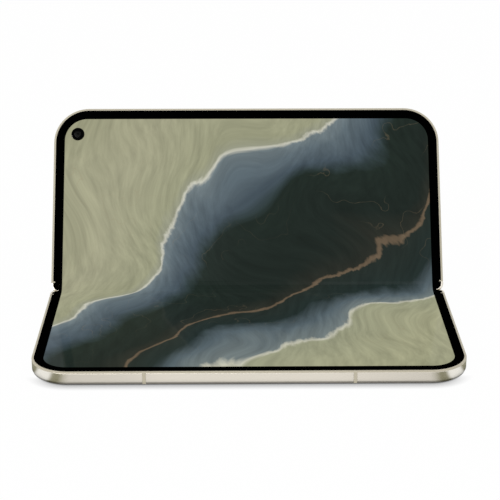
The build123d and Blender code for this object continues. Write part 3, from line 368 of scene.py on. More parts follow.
nylon_rim = moulded("nylon_rim", paint(188, 181, 161), 0.5, shine=0.3)
black_trim = moulded("black_trim", (0.0004, 0.0004, 0.0004, 1), 0.5, shine=0.0)
frosted_glass = moulded("frosted_glass", paint(205, 199, 182), 0.38, 14000.0, 0.000002, 0.5, 0.05, 0.02)
black_glass = moulded("black_glass", (0.004, 0.0042, 0.005, 1), 0.05, 400.0, 0.0000005, 0.4, 0.02)
dark_panel = moulded("dark_panel", (0.006, 0.006, 0.008, 1), 0.2, 3000.0, 0.000001, 0.4)
camera_black = moulded("camera_black", (0.012, 0.012, 0.013, 1), 0.42, 7000.0, 0.000004, 0.35)
speaker_nylon = moulded("speaker_nylon", (0.03, 0.03, 0.032, 1), 0.55)
solder_mask = moulded("solder_mask", (0.012, 0.05, 0.03, 1), 0.3, 1800.0, 0.00001, 0.5, 0.08, 0.2)
lens_seat = moulded("lens_seat", (0.0012, 0.0012, 0.0013, 1), 0.5, 7000.0, 0.000002, 0.005)
amber_film = moulded("amber_film", (0.30, 0.13, 0.03, 1), 0.3, 1500.0, 0.000004, 0.5, 0.06, 0.15)
ferrite = moulded("ferrite", (0.045, 0.043, 0.042, 1), 0.6, 3500.0, 0.00001)
flash_lens = moulded("flash_lens", (0.80, 0.76, 0.55, 1), 0.18, 5000.0, 0.000002, 0.6)
print("moulded and glass finishes made")

# %% [markdown]
# Dressing the CAD parts
#
# Most CAD parts already have the right shape, so they only need their finish. Each is named here once, in a table
# from finish to parts.

# %% Finishes of the CAD parts
FINISHES = {
    satin_frame: ["upper_frame", "lower_frame", "sim_tray"],
    satin_key: ["power_key", "volume_key"],
    polished_housing: ["camera_housing"],
    dark_spine: ["spine_cover"],
    nylon_rim: ["upper_rim", "lower_rim"],
    black_trim: ["upper_bezel", "lower_bezel"],
    frosted_glass: ["back_glass"],
    black_glass: ["cover_glass", "camera_window"],
    dark_panel: ["cover_display"],
    camera_black: ["inner_camera", "cover_camera", "wide_camera", "ultrawide_camera", "tele_camera", "flash_unit"],
    cell_foil: ["upper_battery", "lower_battery"],
    solder_mask: ["main_board", "tail_board", "lower_board"],
    shield_steel: ["board_shields", "lower_shields", "sim_reader", "charging_socket"],
    speaker_nylon: ["main_speaker", "lower_speaker"],
    motor_steel: ["haptic_motor"],
    ferrite: ["charging_coil"],
    amber_film: ["key_switches"],
    hinge_steel: ["hinge_blocks", "gear_pins", "upper_idlers", "lower_idlers", "upper_hinge_brackets",
                  "lower_hinge_brackets"],
    screw_steel: ["block_screws", "upper_bracket_screws", "lower_bracket_screws"],
}
for finish, parts in FINISHES.items():
    for part in parts:
        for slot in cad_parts[part].material_slots:
            slot.material = finish
print("finished", sum(len(parts) for parts in FINISHES.values()), "CAD parts")

# %% [markdown]
# Helpers for meshes
#
# Thin panes and sheets are all made the same way: an outline with holes is filled with triangles, a copy of it is
# set below, and every open edge gets a wall. Round things such as lenses are turned, like on a lathe, from a profile
# of radius and height. Both ways end in one closed skin, so Blender can tell inside from outside. Each finished
# piece is fixed to a body and may stand for CAD parts, which then stay hidden.


# %% Helpers for meshes
WELD = 0.000001


def cleaned(mesh, smooth, place=None):
    """Puts a mesh in its place, welds it, turns its faces outwards and shades its soft edges smooth."""
    work = bmesh.new()
    work.from_mesh(mesh)
    if place is not None:
        bmesh.ops.transform(work, matrix=place, verts=work.verts)
    bmesh.ops.remove_doubles(work, verts=work.verts, dist=WELD)
    bmesh.ops.recalc_face_normals(work, faces=work.faces)
    work.to_mesh(mesh)
    work.free()
    mesh.shade_smooth()
    mesh.set_sharp_from_angle(angle=math.radians(smooth))


def as_object(name, verts, faces, finish, smooth=40.0):
    """A mesh object at the origin, with one finish."""
    mesh = bpy.data.meshes.new(name)
    mesh.from_pydata([tuple(v) for v in verts], [], faces)
    cleaned(mesh, smooth)
    mesh.materials.append(finish)
    made = bpy.data.objects.new(name, mesh)
    bpy.context.scene.collection.objects.link(made)
    return made


def placed(made, body, slot, *replaced):
    """Fixes a piece to its body and hides the CAD parts that it stands for. Its slot is not used."""
    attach(made, body)
    if replaced:
        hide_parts(*replaced)
    return made


def filled(outline, holes=()):
    """The points and triangles of an outline with holes in it."""
    loops = [[Vector((x, y, 0)) for x, y in loop] for loop in (outline, *holes)]
    triangles = tessellate_polygon(loops)
    return [(p.x, p.y) for loop in loops for p in loop], [tuple(t) for t in triangles]


def thickened(points, faces, put, thick):
    """A flat pattern with a copy of itself below it and a wall along every open edge."""
    count = len(points)
    verts = [put(x, y, 0.0) for x, y in points] + [put(x, y, thick) for x, y in points]
    edges = {}
    for face in faces:
        for a, b in zip(face, face[1:] + face[:1]):
            edges.setdefault(frozenset((a, b)), []).append((a, b))
    skin = [tuple(face) for face in faces] + [tuple(i + count for i in reversed(face)) for face in faces]
    skin += [(b, a, a + count, b + count) for (a, b), *more in edges.values() if not more]
    return verts, skin


def ring_points(middle, radius, count=48):
    """Points round a circle."""
    turns = [2 * math.pi * step / count for step in range(count)]
    return [(middle[0] + radius * math.cos(t), middle[1] + radius * math.sin(t)) for t in turns]


def turned(profile, middle, count=64):
    """A shape turned about an upright axis from a profile of (radius, height) that starts and ends on it."""
    verts, faces = [], []
    for radius, height in profile:
        verts += [(x, y, height) for x, y in ring_points(middle, radius, count)]
    for row in range(len(profile) - 1):
        for step in range(count):
            a, b = row * count + step, row * count + (step + 1) % count
            faces.append((a, b, b + count, a + count))
    return verts, faces


# %% [markdown]
# The flexible screen
#
# The inner screen is one sheet over both halves. In the fold it follows a circle of 4.5 mm. It is made of two meshes
# that meet in the middle of the fold: one curves from the lower half onto the spine, the other from the spine onto
# the upper half. Both are drawn unrolled, as a flat pattern whose second coordinate is the distance from the fold
# measured along the surface. The same flat coordinates become the UV map, so a picture painted on them runs over the
# fold without a break, as it does on the real screen.

# %% The flat pattern of one half of the screen
PANEL_TOP, PANEL_THICK = -0.2, 0.45
BEND_RADIUS, BEND_HEIGHT = 4.5, 4.4018  # of the fold, and its centre above the rim in the spine's own drawing
BEND_START = 2.79355  # where the fold begins, from the hinge line
BEND_LENGTH, BEND_ROWS = BEND_RADIUS * SPINE_OPEN, 10
PANEL_HALF, PANEL_NECK, PANEL_FAR, PANEL_CORNER = 75.5, 74.65, 73.0, 11.9
NECK_END = 4.25
PUNCH, PUNCH_RADIUS = (-68.1, 64.55), 2.6


def along(y):
    """Distance from the middle of the fold, along the surface, of a point of the flat drawing."""
    return y - BEND_START + BEND_LENGTH


def half_outline(half, far, corner, near_points, steps=14):
    """Outline of a half: round corners at the free edge, and what near_points says beside the hinge."""
    arc = [math.radians(90) * step / steps for step in range(steps + 1)]
    right = [(half - corner + corner * math.cos(t), far - corner + corner * math.sin(t)) for t in arc]
    left = [(-x, y) for x, y in reversed(right)]
    return near_points + right + left + [(-x, y) for x, y in reversed(near_points)]


def screen_pattern(holes):
    """Points and faces of one half's pattern: quads over the fold, then the flat stretch with its round corners."""
    near = [(PANEL_NECK, along(BEND_START)), (PANEL_NECK, along(NECK_END)), (PANEL_HALF, along(NECK_END))]
    outline = half_outline(PANEL_HALF, along(PANEL_FAR), PANEL_CORNER, near)
    points, faces = filled(outline, holes)
    for row in range(BEND_ROWS):
        start, end = BEND_LENGTH * row / BEND_ROWS, BEND_LENGTH * (row + 1) / BEND_ROWS
        base = len(points)
        points += [(-PANEL_NECK, start), (PANEL_NECK, start), (PANEL_NECK, end), (-PANEL_NECK, end)]
        faces.append((base, base + 1, base + 2, base + 3))
    return points, faces


def on_screen(side):
    """Place in the standing phone of a point of the pattern and its depth below the lit face."""
    half = UPPER if side > 0 else LOWER

    def put(x, s, depth):
        if s >= BEND_LENGTH - 1e-6:
            return half @ Vector((x, s - BEND_LENGTH + BEND_START, PANEL_TOP - depth))
        turn, radius = s / BEND_RADIUS, BEND_RADIUS + depth
        return SPINE @ Vector((x, side * radius * math.sin(turn), BEND_HEIGHT - radius * math.cos(turn)))

    return put


print("screen runs", round(along(PANEL_FAR) * 2, 1), "mm over the fold")

# %% [markdown]
# A picture for the screen
#
# The screen is lit, so its picture is light that the surface gives off, under a thin clear skin. The picture is an
# abstract of slow bands in sage, slate and deep green, like dyed silk. A noise bends the coordinates, a direction
# across them gives a number from 0 to 1, and a colour ramp turns that number into bands. Finer noises add ripples
# and a few thin threads. Outside the lit area, a rounded rectangle worked out from the same coordinates, the panel
# stays black, and so does the edge of the hole for the camera.


# %% Screen finish
LIT_HALF, LIT_FAR, LIT_CORNER, PICTURE_SPAN = 73.3, 70.8, 9.0, 160.0
HOLE_EDGE = 0.03  # black edge of the camera's hole
SWAY, RIPPLE = 90.0, 9.0  # how far the slow and the finer noise push the bands
BANDS_SPAN, BANDS_ACROSS = 190.0, (0.74, -0.67, 0.0)
BANDS = [(0.0, (150, 150, 122)), (0.16, (162, 161, 134)), (0.30, (154, 155, 127)), (0.325, (148, 150, 130)),
         (0.331, (204, 203, 188)), (0.339, (112, 124, 128)), (0.37, (92, 105, 112)), (0.42, (70, 83, 92)),
         (0.45, (46, 58, 58)), (0.465, (33, 43, 38)), (0.56, (31, 39, 35)), (0.60, (44, 46, 40)),
         (0.603, (128, 108, 86)), (0.609, (38, 46, 42)), (0.66, (35, 46, 44)), (0.70, (84, 97, 103)),
         (0.735, (112, 122, 122)), (0.741, (196, 195, 178)), (0.749, (150, 152, 126)), (0.85, (160, 160, 130)),
         (1.0, (148, 149, 120))]
THREAD_COLOUR, THREAD_WEIGHT = (150, 132, 104), 0.2


def rounded_mask(tree, across, along_it, half, far, corner):
    """1 inside a rounded rectangle about the middle, 0 outside, with an edge of a tenth of a millimetre."""
    dx = maths(tree, "SUBTRACT", maths(tree, "ABSOLUTE", across), half - corner)
    dy = maths(tree, "SUBTRACT", maths(tree, "ABSOLUTE", along_it), far - corner)
    out_x, out_y = maths(tree, "MAXIMUM", dx, 0.0), maths(tree, "MAXIMUM", dy, 0.0)
    squares = maths(tree, "ADD", times(tree, out_x, out_x), times(tree, out_y, out_y))
    inside = maths(tree, "MINIMUM", maths(tree, "MAXIMUM", dx, dy), 0.0)
    distance = maths(tree, "ADD", maths(tree, "SQRT", squares), inside)
    return maths(tree, "MULTIPLY_ADD", maths(tree, "SUBTRACT", corner, distance), 10.0, 0.5, clamp=True)


def threads_over(tree, flat, bent, across):
    """Where thin threads show: lines of equal height of a noise, in patches."""
    height = maths(tree, "MULTIPLY_ADD", noise(tree, 0.03, 3.0, flat, flat=True), 5.0, times(tree, across, 0.06))
    away = maths(tree, "ABSOLUTE", maths(tree, "SUBTRACT", maths(tree, "FRACT", height), 0.5))
    lines = maths(tree, "MULTIPLY_ADD", away, -60.0, 1.0, clamp=True)
    patches = remapped(tree, noise(tree, 0.02, 1.0, bent, flat=True), (0.48, 0.62))
    return times(tree, times(tree, lines, patches), THREAD_WEIGHT)


def picture(tree, flat):
    """The colours of the picture at flat coordinates in millimetres."""
    sway = noise(tree, 0.012, 1.5, flat, flat=True, result="Color")
    sway = vector_maths(tree, "SUBTRACT", sway, (0.5, 0.5, 0.5))
    bent = vector_maths(tree, "ADD", flat, rescaled(tree, sway, SWAY))
    across = vector_maths(tree, "DOT_PRODUCT", bent, BANDS_ACROSS, result="Value")
    ripple = maths(tree, "SUBTRACT", noise(tree, 0.055, 5.0, bent, 0.6, True), 0.5)
    across = maths(tree, "MULTIPLY_ADD", ripple, RIPPLE, across)
    bands = ramped(tree, maths(tree, "MULTIPLY_ADD", across, 1 / BANDS_SPAN, 0.5), painted(BANDS))
    silk_run = node(tree, "ShaderNodeMapping", {"Vector": bent, "Rotation": (0, 0, math.radians(47)),
                                                "Scale": (0.9, 0.25, 1)}).outputs[0]
    silk = noise(tree, 0.32, 7.0, silk_run, 0.62, True)
    shaded = rescaled(tree, bands, remapped(tree, silk, (0.25, 0.75), (0.82, 1.18)))
    return mixed(tree, threads_over(tree, flat, bent, across), shaded, paint(*THREAD_COLOUR))


screen, tree, shader = new_finish("lit_screen")
uv = node(tree, "ShaderNodeUVMap", uv_map="flat_pattern").outputs[0]
flat = node(tree, "ShaderNodeMapping", {"Vector": uv, "Location": (-PICTURE_SPAN / 2, -PICTURE_SPAN / 2, 0),
                                        "Scale": (PICTURE_SPAN, PICTURE_SPAN, 1)}).outputs[0]
parts = node(tree, "ShaderNodeSeparateXYZ", {0: flat}).outputs
mask = rounded_mask(tree, parts["X"], parts["Y"], LIT_HALF, along(LIT_FAR), LIT_CORNER)
from_hole = vector_maths(tree, "DISTANCE", flat, (PUNCH[0], along(PUNCH[1]), 0.0), result="Value")
beyond_hole = maths(tree, "SUBTRACT", from_hole, PUNCH_RADIUS + HOLE_EDGE)
mask = times(tree, mask, maths(tree, "MULTIPLY", beyond_hole, 20.0, clamp=True))
feed(tree, shader, {"Emission Color": rescaled(tree, picture(tree, flat), mask), "Emission Strength": 1.0,
                    "Base Color": (0.0008, 0.0008, 0.0008, 1), "Specular IOR Level": 0.02,
                    "Roughness": between(tree, noise(tree, 30.0, 2.0), 0.05, 0.08)})


def screen_half(name, side, holes):
    """One half of the screen, with its flat coordinates kept in the UV map."""
    points, faces = screen_pattern(holes)
    put = on_screen(side)
    verts, skin = thickened(points, faces, put, PANEL_THICK)
    made = as_object(name, verts, skin, screen)
    known = {}
    for depth in (0.0, PANEL_THICK):
        for x, s in points:
            known[tuple(round(c, 7) for c in put(x, s, depth))] = (x, side * s)
    layer = made.data.uv_layers.new(name="flat_pattern")
    for loop in made.data.loops:
        spot = made.data.vertices[loop.vertex_index].co
        x, s = known.get(tuple(round(c, 7) for c in spot), (0, 0))
        layer.data[loop.index].uv = (x / PICTURE_SPAN + 0.5, s / PICTURE_SPAN + 0.5)
    return made


hole = [ring_points((PUNCH[0], along(PUNCH[1])), PUNCH_RADIUS)]
screen_lower = screen_half("screen_lower", -1, [])
screen_upper = screen_half("screen_upper", 1, hole)
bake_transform(screen_lower)
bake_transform(screen_upper)
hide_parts("inner_display_lower", "display_bend")
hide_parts("inner_display_upper")
print("screen made of", len(screen_lower.data.polygons) + len(screen_upper.data.polygons), "faces")

# %% [markdown]
# Camera glass
#
# A phone camera is a stack of small lenses, of which only the front one shows, in a matt black cone that swallows
# stray light. The front glass is coated against reflections, and what it still reflects is blue towards the middle
# and violet towards the rim. That reflection is painted into the glass's colour, in rings, and a grey ring of
# painted reflection lies on the inner camera's lens. The lathe helper makes each of these from a profile. The lens
# also keeps, at each of its points, how far out that point lies, as an attribute named reach, and the finish reads
# its painted reflection from it.


# %% Coated lens glass
def coated(name, stops, shine):
    """Lens glass whose colour goes through the stops from the middle, at 0, to the rim, at 1."""
    material, tree, shader = new_finish(name)
    reach = node(tree, "ShaderNodeAttribute", attribute_name="reach").outputs["Fac"]
    feed(tree, shader, {"Base Color": ramped(tree, reach, painted(stops)), "Specular IOR Level": shine,
                        "Roughness": between(tree, noise(tree, 700.0, 2.0), 0.03, 0.06)})
    return material


# painted reflection: the coating's blue and violet rings, painted into the colour of the lens glass
lens_glass_painted_reflection = coated("lens_glass_painted_reflection", [(0.0, (3, 3, 4)), (0.30, (5, 5, 7)), (0.36, (22, 26, 40)),
                                       (0.62, (20, 22, 46)), (0.86, (44, 28, 58)), (1.0, (8, 8, 10))], 0.5)
# painted reflection: a grey ring painted into the colour of the inner camera's lens
front_lens_painted_reflection = coated("front_lens_painted_reflection", [(0.0, (1, 1, 2)), (0.26, (2, 2, 3)), (0.36, (19, 20, 20)),
                                     (0.74, (23, 23, 22)), (0.92, (13, 13, 13)), (1.0, (2, 2, 2))], 0.02)
sensor_glass = moulded("sensor_glass", (0.012, 0.002, 0.003, 1), 0.08, 600.0, 0.0000005, 0.4, 0.02)


def lathed(name, profile, middle, body, finish, slot="camera_black", ring=False):
    """A turned piece in its place. A ring's profile closes on itself instead of on the axis."""
    place = PLACES[body]
    back = place.inverted()
    verts, faces = turned(profile + profile[:1] if ring else profile, middle)
    made = as_object(name, [place @ Vector(v) for v in verts], faces, finish, 35.0)
    widest = max(radius for radius, height in profile)
    layer = made.data.attributes.new("reach", "FLOAT", "POINT")
    for vertex in made.data.vertices:
        flat = back @ vertex.co
        layer.data[vertex.index].value = math.hypot(flat.x - middle[0], flat.y - middle[1]) / widest
    return placed(made, body, slot)


print("lens glass ready")

# %% [markdown]
# The camera in the screen
#
# The inner camera looks through a round hole in the screen. A black seat with a bevelled mouth fills the hole, and
# the small lens sits in it a little deeper.

# %% Inner camera
SEAT = [(1.32, -0.30), (1.32, -0.25), (1.38, -0.22), (2.51, -0.22), (2.55, -0.24), (2.55, -0.30)]
LENS_DOME = [(0, -0.39), (1.28, -0.39), (1.28, -0.32), (1.15, -0.285), (0.9, -0.262), (0.6, -0.246), (0.3, -0.239),
             (0, -0.237)]
lathed("inner_camera_seat", SEAT, PUNCH, "upper_half", lens_seat, ring=True)
lathed("inner_camera_lens", LENS_DOME, PUNCH, "upper_half", front_lens_painted_reflection)
print("inner camera at", PUNCH)

# %% [markdown]
# The rear cameras
#
# Behind the metal housing lies one black pane. The lenses look through round holes in it, each edged with a polished
# metal ring. The pane is an outline with holes, filled and thickened. Rings, cones and lenses are turned. The flash
# has a lens of fine circular ridges, which spread its light, and the distance sensor hides behind a deep red window.

# %% Rear cameras
ISLAND, PANE_HALF, PANE_BACK, PANE_THICK = (-55.1, 48.6), (16.0, 20.0), -7.5, 0.45
REAR_LENSES = {"wide": ((-62.6, 38.1), 4.5), "ultrawide": ((-62.6, 53.1), 3.6), "tele": ((-47.6, 38.1), 4.2)}
FLASH, FLASH_RADIUS, SENSOR, SENSOR_HALF = (-47.6, 61.1), 1.75, (-47.6, 53.6), 1.35
GAP = 0.02  # round whatever sits in the pane
RING_WIDE, GLASS_SHARE, CONE_STEPS, DOME_HIGH = 0.55, 0.72, 4, 0.26
RIDGES, RIDGE_PITCH = 7, 0.22


def rounded_rectangle(middle, half_x, half_y, corner, steps):
    """Points round a rectangle with round corners."""
    points = []
    for quarter, (sx, sy) in enumerate(((1, 1), (-1, 1), (-1, -1), (1, -1))):
        for step in range(steps + 1):
            turn = math.radians(90) * (quarter + step / steps)
            points.append((middle[0] + sx * (half_x - corner) + corner * math.cos(turn),
                           middle[1] + sy * (half_y - corner) + corner * math.sin(turn)))
    return points


def pane(name, outline, holes, surface, thick, body, finish, slot, *replaced):
    """A flat pane with holes, in its place, with its depth counted inwards from the back of a half."""
    points, faces = filled(outline, holes)
    verts, skin = thickened(points, faces, lambda x, y, depth: PLACES[body] @ Vector((x, y, surface + depth)), thick)
    return placed(as_object(name, verts, skin, finish), body, slot, *replaced)


def sunk(*profile):
    """A profile whose depths are counted from the face of the rear pane."""
    return [(radius, PANE_BACK + depth) for radius, depth in profile]


holes = [ring_points(middle, radius + GAP, 64) for middle, radius in REAR_LENSES.values()]
holes += [ring_points(FLASH, FLASH_RADIUS + GAP, 40),
          rounded_rectangle(SENSOR, SENSOR_HALF + GAP, SENSOR_HALF + GAP, 0.5, 5)]
pane("rear_camera_pane", rounded_rectangle(ISLAND, *PANE_HALF, 7.0, 16), holes, PANE_BACK, PANE_THICK, "upper_half",
     black_glass, "cover_glass", "camera_window")
pane("ranging_window", rounded_rectangle(SENSOR, SENSOR_HALF, SENSOR_HALF, 0.48, 5), [], PANE_BACK + 0.02, 0.4,
     "upper_half", sensor_glass, "camera_black")
for name, (middle, radius) in REAR_LENSES.items():
    mouth = radius - RING_WIDE
    glass = mouth * GLASS_SHARE
    ring = sunk((radius, 0.45), (radius, 0.05), (radius - 0.05, 0), (mouth + 0.08, 0), (mouth, 0.1), (mouth, 0.45))
    steps = []
    for step in range(CONE_STEPS):
        at = mouth - (mouth - glass) * (step + 1) / CONE_STEPS
        steps += [(at + 0.02, 0.12 + 0.07 * step), (at, 0.12 + 0.07 * (step + 1))]
    cone = sunk((mouth - 0.01, 0.54), (mouth - 0.01, 0.12), *steps, (glass, 0.54))
    arc = [math.radians(turn) for turn in (12, 25, 38, 52, 66, 80)]
    dome = sunk((0, 0.54), (glass - 0.01, 0.54), (glass - 0.01, 0.44),
                *((glass * math.cos(turn), 0.44 - DOME_HIGH * math.sin(turn)) for turn in arc), (0, 0.18))
    lathed(name + "_lens_ring", ring, middle, "upper_half", polished_housing, "frame_metal", ring=True)
    lathed(name + "_lens_cone", cone, middle, "upper_half", lens_seat, ring=True)
    lathed(name + "_lens", dome, middle, "upper_half", lens_glass_painted_reflection)
outers = [FLASH_RADIUS - 0.08 - RIDGE_PITCH * ridge for ridge in range(RIDGES)]
ridges = [spot for outer in outers for spot in ((outer, 0.04), (outer - 0.2, 0.14))]
lathed("flash_lens", sunk((0, 0.5), (FLASH_RADIUS, 0.5), (FLASH_RADIUS, 0.04), *ridges, (0, 0.1)), FLASH,
       "upper_half", flash_lens)
print("rear cameras dressed:", ", ".join(REAR_LENSES))

# %% [markdown]
# The cover glass
#
# The lower half carries the outer display behind a black pane, with one round opening for its own camera. It lies on
# the table in the photograph, so this side is seen only from below or when the phone is posed in another way.

# %% Cover glass
COVER_CAMERA, COVER_RADIUS = (-68.5, 37.0), 1.9
COVER_LENS = [(0, -4.46), (COVER_RADIUS, -4.46), (COVER_RADIUS, -4.98), (1.3, -4.92), (1.2, -4.98), (0.8, -5.04),
              (0.4, -5.06), (0, -5.065)]
pane("cover_pane", half_outline(76.3, 73.8, 12.7, [(76.3, 5.5)], 20), [ring_points(COVER_CAMERA, COVER_RADIUS + GAP)],
     -5.1, 0.6, "lower_half", black_glass, "cover_glass", "cover_glass")
lathed("cover_camera_lens", COVER_LENS, COVER_CAMERA, "lower_half", lens_glass_painted_reflection)
print("cover glass made")

# %% [markdown]
# Growing what repeats
#
# Screws, woven cloth, contacts, windings and the small parts on a board repeat by the dozen or follow a rule.
# Geometry Nodes suit them: a tree is a recipe with named sizes. One helper starts a tree, one ends it, and one runs
# it on a few seed points and keeps the result as a plain mesh, moved from the flat drawing to the standing phone.


# %% Helpers for Geometry Nodes
def new_tree(name, sizes):
    """An empty tree with a named input for each size, and the sockets that hold them."""
    tree = bpy.data.node_groups.new(name, "GeometryNodeTree")
    tree.interface.new_socket("Geometry", in_out="INPUT", socket_type="NodeSocketGeometry")
    for label, value in sizes.items():
        kind = "NodeSocketInt" if isinstance(value, int) else "NodeSocketFloat"
        tree.interface.new_socket(label, in_out="INPUT", socket_type=kind)
    tree.interface.new_socket("Geometry", in_out="OUTPUT", socket_type="NodeSocketGeometry")
    return tree, node(tree, "NodeGroupInput").outputs


def shape(tree, kind, inputs=None, **settings):
    """The first result of a new geometry node, whose kind is named without its prefix."""
    return node(tree, "GeometryNode" + kind, inputs, **settings).outputs[0]


def gathered(tree, *parts):
    """Several geometries as one."""
    join = tree.nodes.new("GeometryNodeJoinGeometry")
    for part in parts:
        tree.links.new(part, join.inputs[0])
    return join.outputs[0]


def point(tree, x=0.0, y=0.0, z=0.0):
    """A vector from three numbers or sockets."""
    return node(tree, "ShaderNodeCombineXYZ", {"X": x, "Y": y, "Z": z}).outputs[0]


def shifted(tree, geometry, x=0.0, z=0.0):
    """A geometry moved by numbers or sockets."""
    return shape(tree, "Transform", {"Geometry": geometry, "Translation": point(tree, x, z=z)})


def plate(tree, outline, height):
    """Curves filled and raised to a closed plate that stands on zero."""
    flat = shape(tree, "FillCurve", {0: outline})
    raised = shape(tree, "ExtrudeMesh", {"Mesh": flat, "Offset Scale": height, "Individual": False})
    return gathered(tree, raised, shape(tree, "FlipFaces", {"Mesh": flat}))


def rounded_bar(tree, length, width, height, corner, steps):
    """A plate with round corners."""
    outline = shape(tree, "CurvePrimitiveQuadrilateral", {"Width": length, "Height": width})
    outline = shape(tree, "FilletCurve", {"Curve": outline, "Count": steps, "Radius": corner, "Limit Radius": True},
                    mode="POLY")
    return plate(tree, outline, height)


def tube(tree, path, radius, sides):
    """A round section drawn along a path."""
    section = shape(tree, "CurvePrimitiveCircle", {"Resolution": sides, "Radius": radius})
    return shape(tree, "CurveToMesh", {"Curve": path, "Profile Curve": section, "Fill Caps": True})


def planted(tree, points, piece, turn=(0, 0, 0)):
    """A copy of a piece at each point."""
    return shape(tree, "InstanceOnPoints", {"Points": points, "Instance": piece, "Rotation": turn})


def ended(tree, geometry, finish, ends=None):
    """Ends a tree: copies become real and get their finish. Faces marked as ends can get another one."""
    real = shape(tree, "RealizeInstances", {0: geometry})
    dressed = shape(tree, "SetMaterial", {"Geometry": real, "Material": finish})
    if ends:
        marked = shape(tree, "InputNamedAttribute", {"Name": "end_cap"}, data_type="BOOLEAN")
        dressed = shape(tree, "SetMaterial", {"Geometry": dressed, "Selection": marked, "Material": ends})
    node(tree, "NodeGroupOutput", {0: dressed})


def grown(name, tree, sizes, seeds, body, slot, *replaced, faces=(), smooth=30.0):
    """Runs a tree on its seeds and keeps the result as a plain mesh in its place."""
    mesh = bpy.data.meshes.new(name)
    mesh.from_pydata(seeds, [], faces)
    made = bpy.data.objects.new(name, mesh)
    bpy.context.scene.collection.objects.link(made)
    growth = made.modifiers.new("growth", "NODES")
    growth.node_group = tree
    sockets = {item.name: item.identifier for item in tree.interface.items_tree if item.in_out == "INPUT"}
    for label, value in sizes.items():
        growth[sockets[label]] = value
    graph = bpy.context.evaluated_depsgraph_get()
    result = bpy.data.meshes.new_from_object(made.evaluated_get(graph), depsgraph=graph)
    made.modifiers.remove(growth)
    made.data = result
    result.name = name
    cleaned(result, smooth, PLACES[body])
    print(name, "has", len(result.polygons), "faces")
    return placed(made, body, slot, *replaced)


# %% [markdown]
# Screws
#
# The hinge is held by very short screws with flat heads, a six-pointed star recess and a coarse thread. A circle and
# a star, filled together, leave a star-shaped hole, and raised they make the head. The thread is a triangular
# section on a spiral round the shank. The points where the screws sit are the seeds of the tree.

# %% Screws
SCREW = {"Head Radius": 0.84, "Head Height": 0.25, "Shank Radius": 0.4, "Length": 1.78, "Thread Depth": 0.11,
         "Turns": 6.0}
STAR_INNER, STAR_OUTER = 0.34, 0.52  # of the recess, as shares of the head's radius
FOOT_SCREWS = [(side * x, 6.875, -0.7) for side in (-1, 1) for x in (43.0, 55.0)]
BLOCK_SCREWS = [(side * x, 0.0, -1.2) for side in (-1, 1) for x in (40.8, 57.2)]
star_screw, size = new_tree("star_screw", SCREW)
radius, shank = size["Head Radius"], size["Shank Radius"]
edge = shape(star_screw, "CurvePrimitiveCircle", {"Resolution": 32, "Radius": radius})
star = shape(star_screw, "CurveStar", {"Points": 6, "Inner Radius": times(star_screw, radius, STAR_INNER),
                                       "Outer Radius": times(star_screw, radius, STAR_OUTER)})
head = plate(star_screw, gathered(star_screw, edge, star), size["Head Height"])
under_head, tip = times(star_screw, size["Head Height"], -1.0), times(star_screw, size["Length"], -1.0)
axis_line = shape(star_screw, "CurvePrimitiveLine", {"Start": point(star_screw, z=tip),
                                                     "End": point(star_screw, z=under_head)})
spiral = shape(star_screw, "CurveSpiral", {"Resolution": 14, "Rotations": size["Turns"], "Start Radius": shank,
                                           "End Radius": shank, "Height": times(star_screw, size["Length"], 0.78)})
thread = tube(star_screw, spiral, size["Thread Depth"], 3)
parts = [shifted(star_screw, head, z=under_head), tube(star_screw, axis_line, shank, 14),
         shifted(star_screw, thread, z=maths(star_screw, "ADD", tip, 0.08))]
ended(star_screw, planted(star_screw, size["Geometry"], gathered(star_screw, *parts)), screw_steel)
for name, body, seeds, length, turns in (
        ("upper_bracket_star_screws", "upper_half", FOOT_SCREWS, 1.78, 6.0),
        ("lower_bracket_star_screws", "lower_half", FOOT_SCREWS, 1.78, 6.0),
        ("block_star_screws", "spine", BLOCK_SCREWS, 2.78, 10.0)):
    grown(name, star_screw, {**SCREW, "Length": length, "Turns": turns}, seeds, body, "screw_steel",
          name.replace("star_", ""))

# %% [markdown]
# Loudspeaker cloth
#
# Behind each sound slot sits a fine woven cloth that keeps dust out. In a plain weave each thread goes over one
# crossing thread and under the next, and its neighbour does the opposite. One wavy thread is planted side by side,
# and every second copy is turned half round. The other direction is the same row, turned by a quarter.

# %% Loudspeaker cloth
CLOTH = {"Width": 5.2, "Height": 0.8, "Pitch": 0.2, "Thread": 0.045}
SLOT_X, SLOT_Y, SLOT_Z, SLOT_APART = 76.3, 17.4, -2.78, 3.6
cloth, size = new_tree("woven_cloth", CLOTH)


def threads(tree, length, spread, first):
    """Wavy threads along X, side by side along Y."""
    pitch, radius = size["Pitch"], size["Thread"]
    half = times(tree, length, 0.5)
    line = shape(tree, "CurvePrimitiveLine", {"Start": point(tree, times(tree, half, -1.0)), "End": point(tree, half)})
    steps = maths(tree, "MULTIPLY_ADD", maths(tree, "DIVIDE", length, pitch), 4.0, 1.0)
    line = shape(tree, "ResampleCurve", {"Curve": line, "Count": steps})
    x = node(tree, "ShaderNodeSeparateXYZ", {0: shape(tree, "InputPosition")}).outputs["X"]
    wave = times(tree, maths(tree, "COSINE", maths(tree, "DIVIDE", times(tree, x, math.pi), pitch)), radius)
    line = shape(tree, "SetPosition", {"Geometry": line, "Offset": point(tree, z=wave)})
    row = shape(tree, "MeshLine", {"Count": maths(tree, "ADD", maths(tree, "DIVIDE", spread, pitch), 1.01),
                                   "Start Location": point(tree, y=times(tree, spread, -0.5)),
                                   "Offset": point(tree, y=pitch)})
    turn = times(tree, maths(tree, "ADD", shape(tree, "InputIndex"), first), math.pi)
    return planted(tree, row, tube(tree, line, radius, 5), point(tree, x=turn))


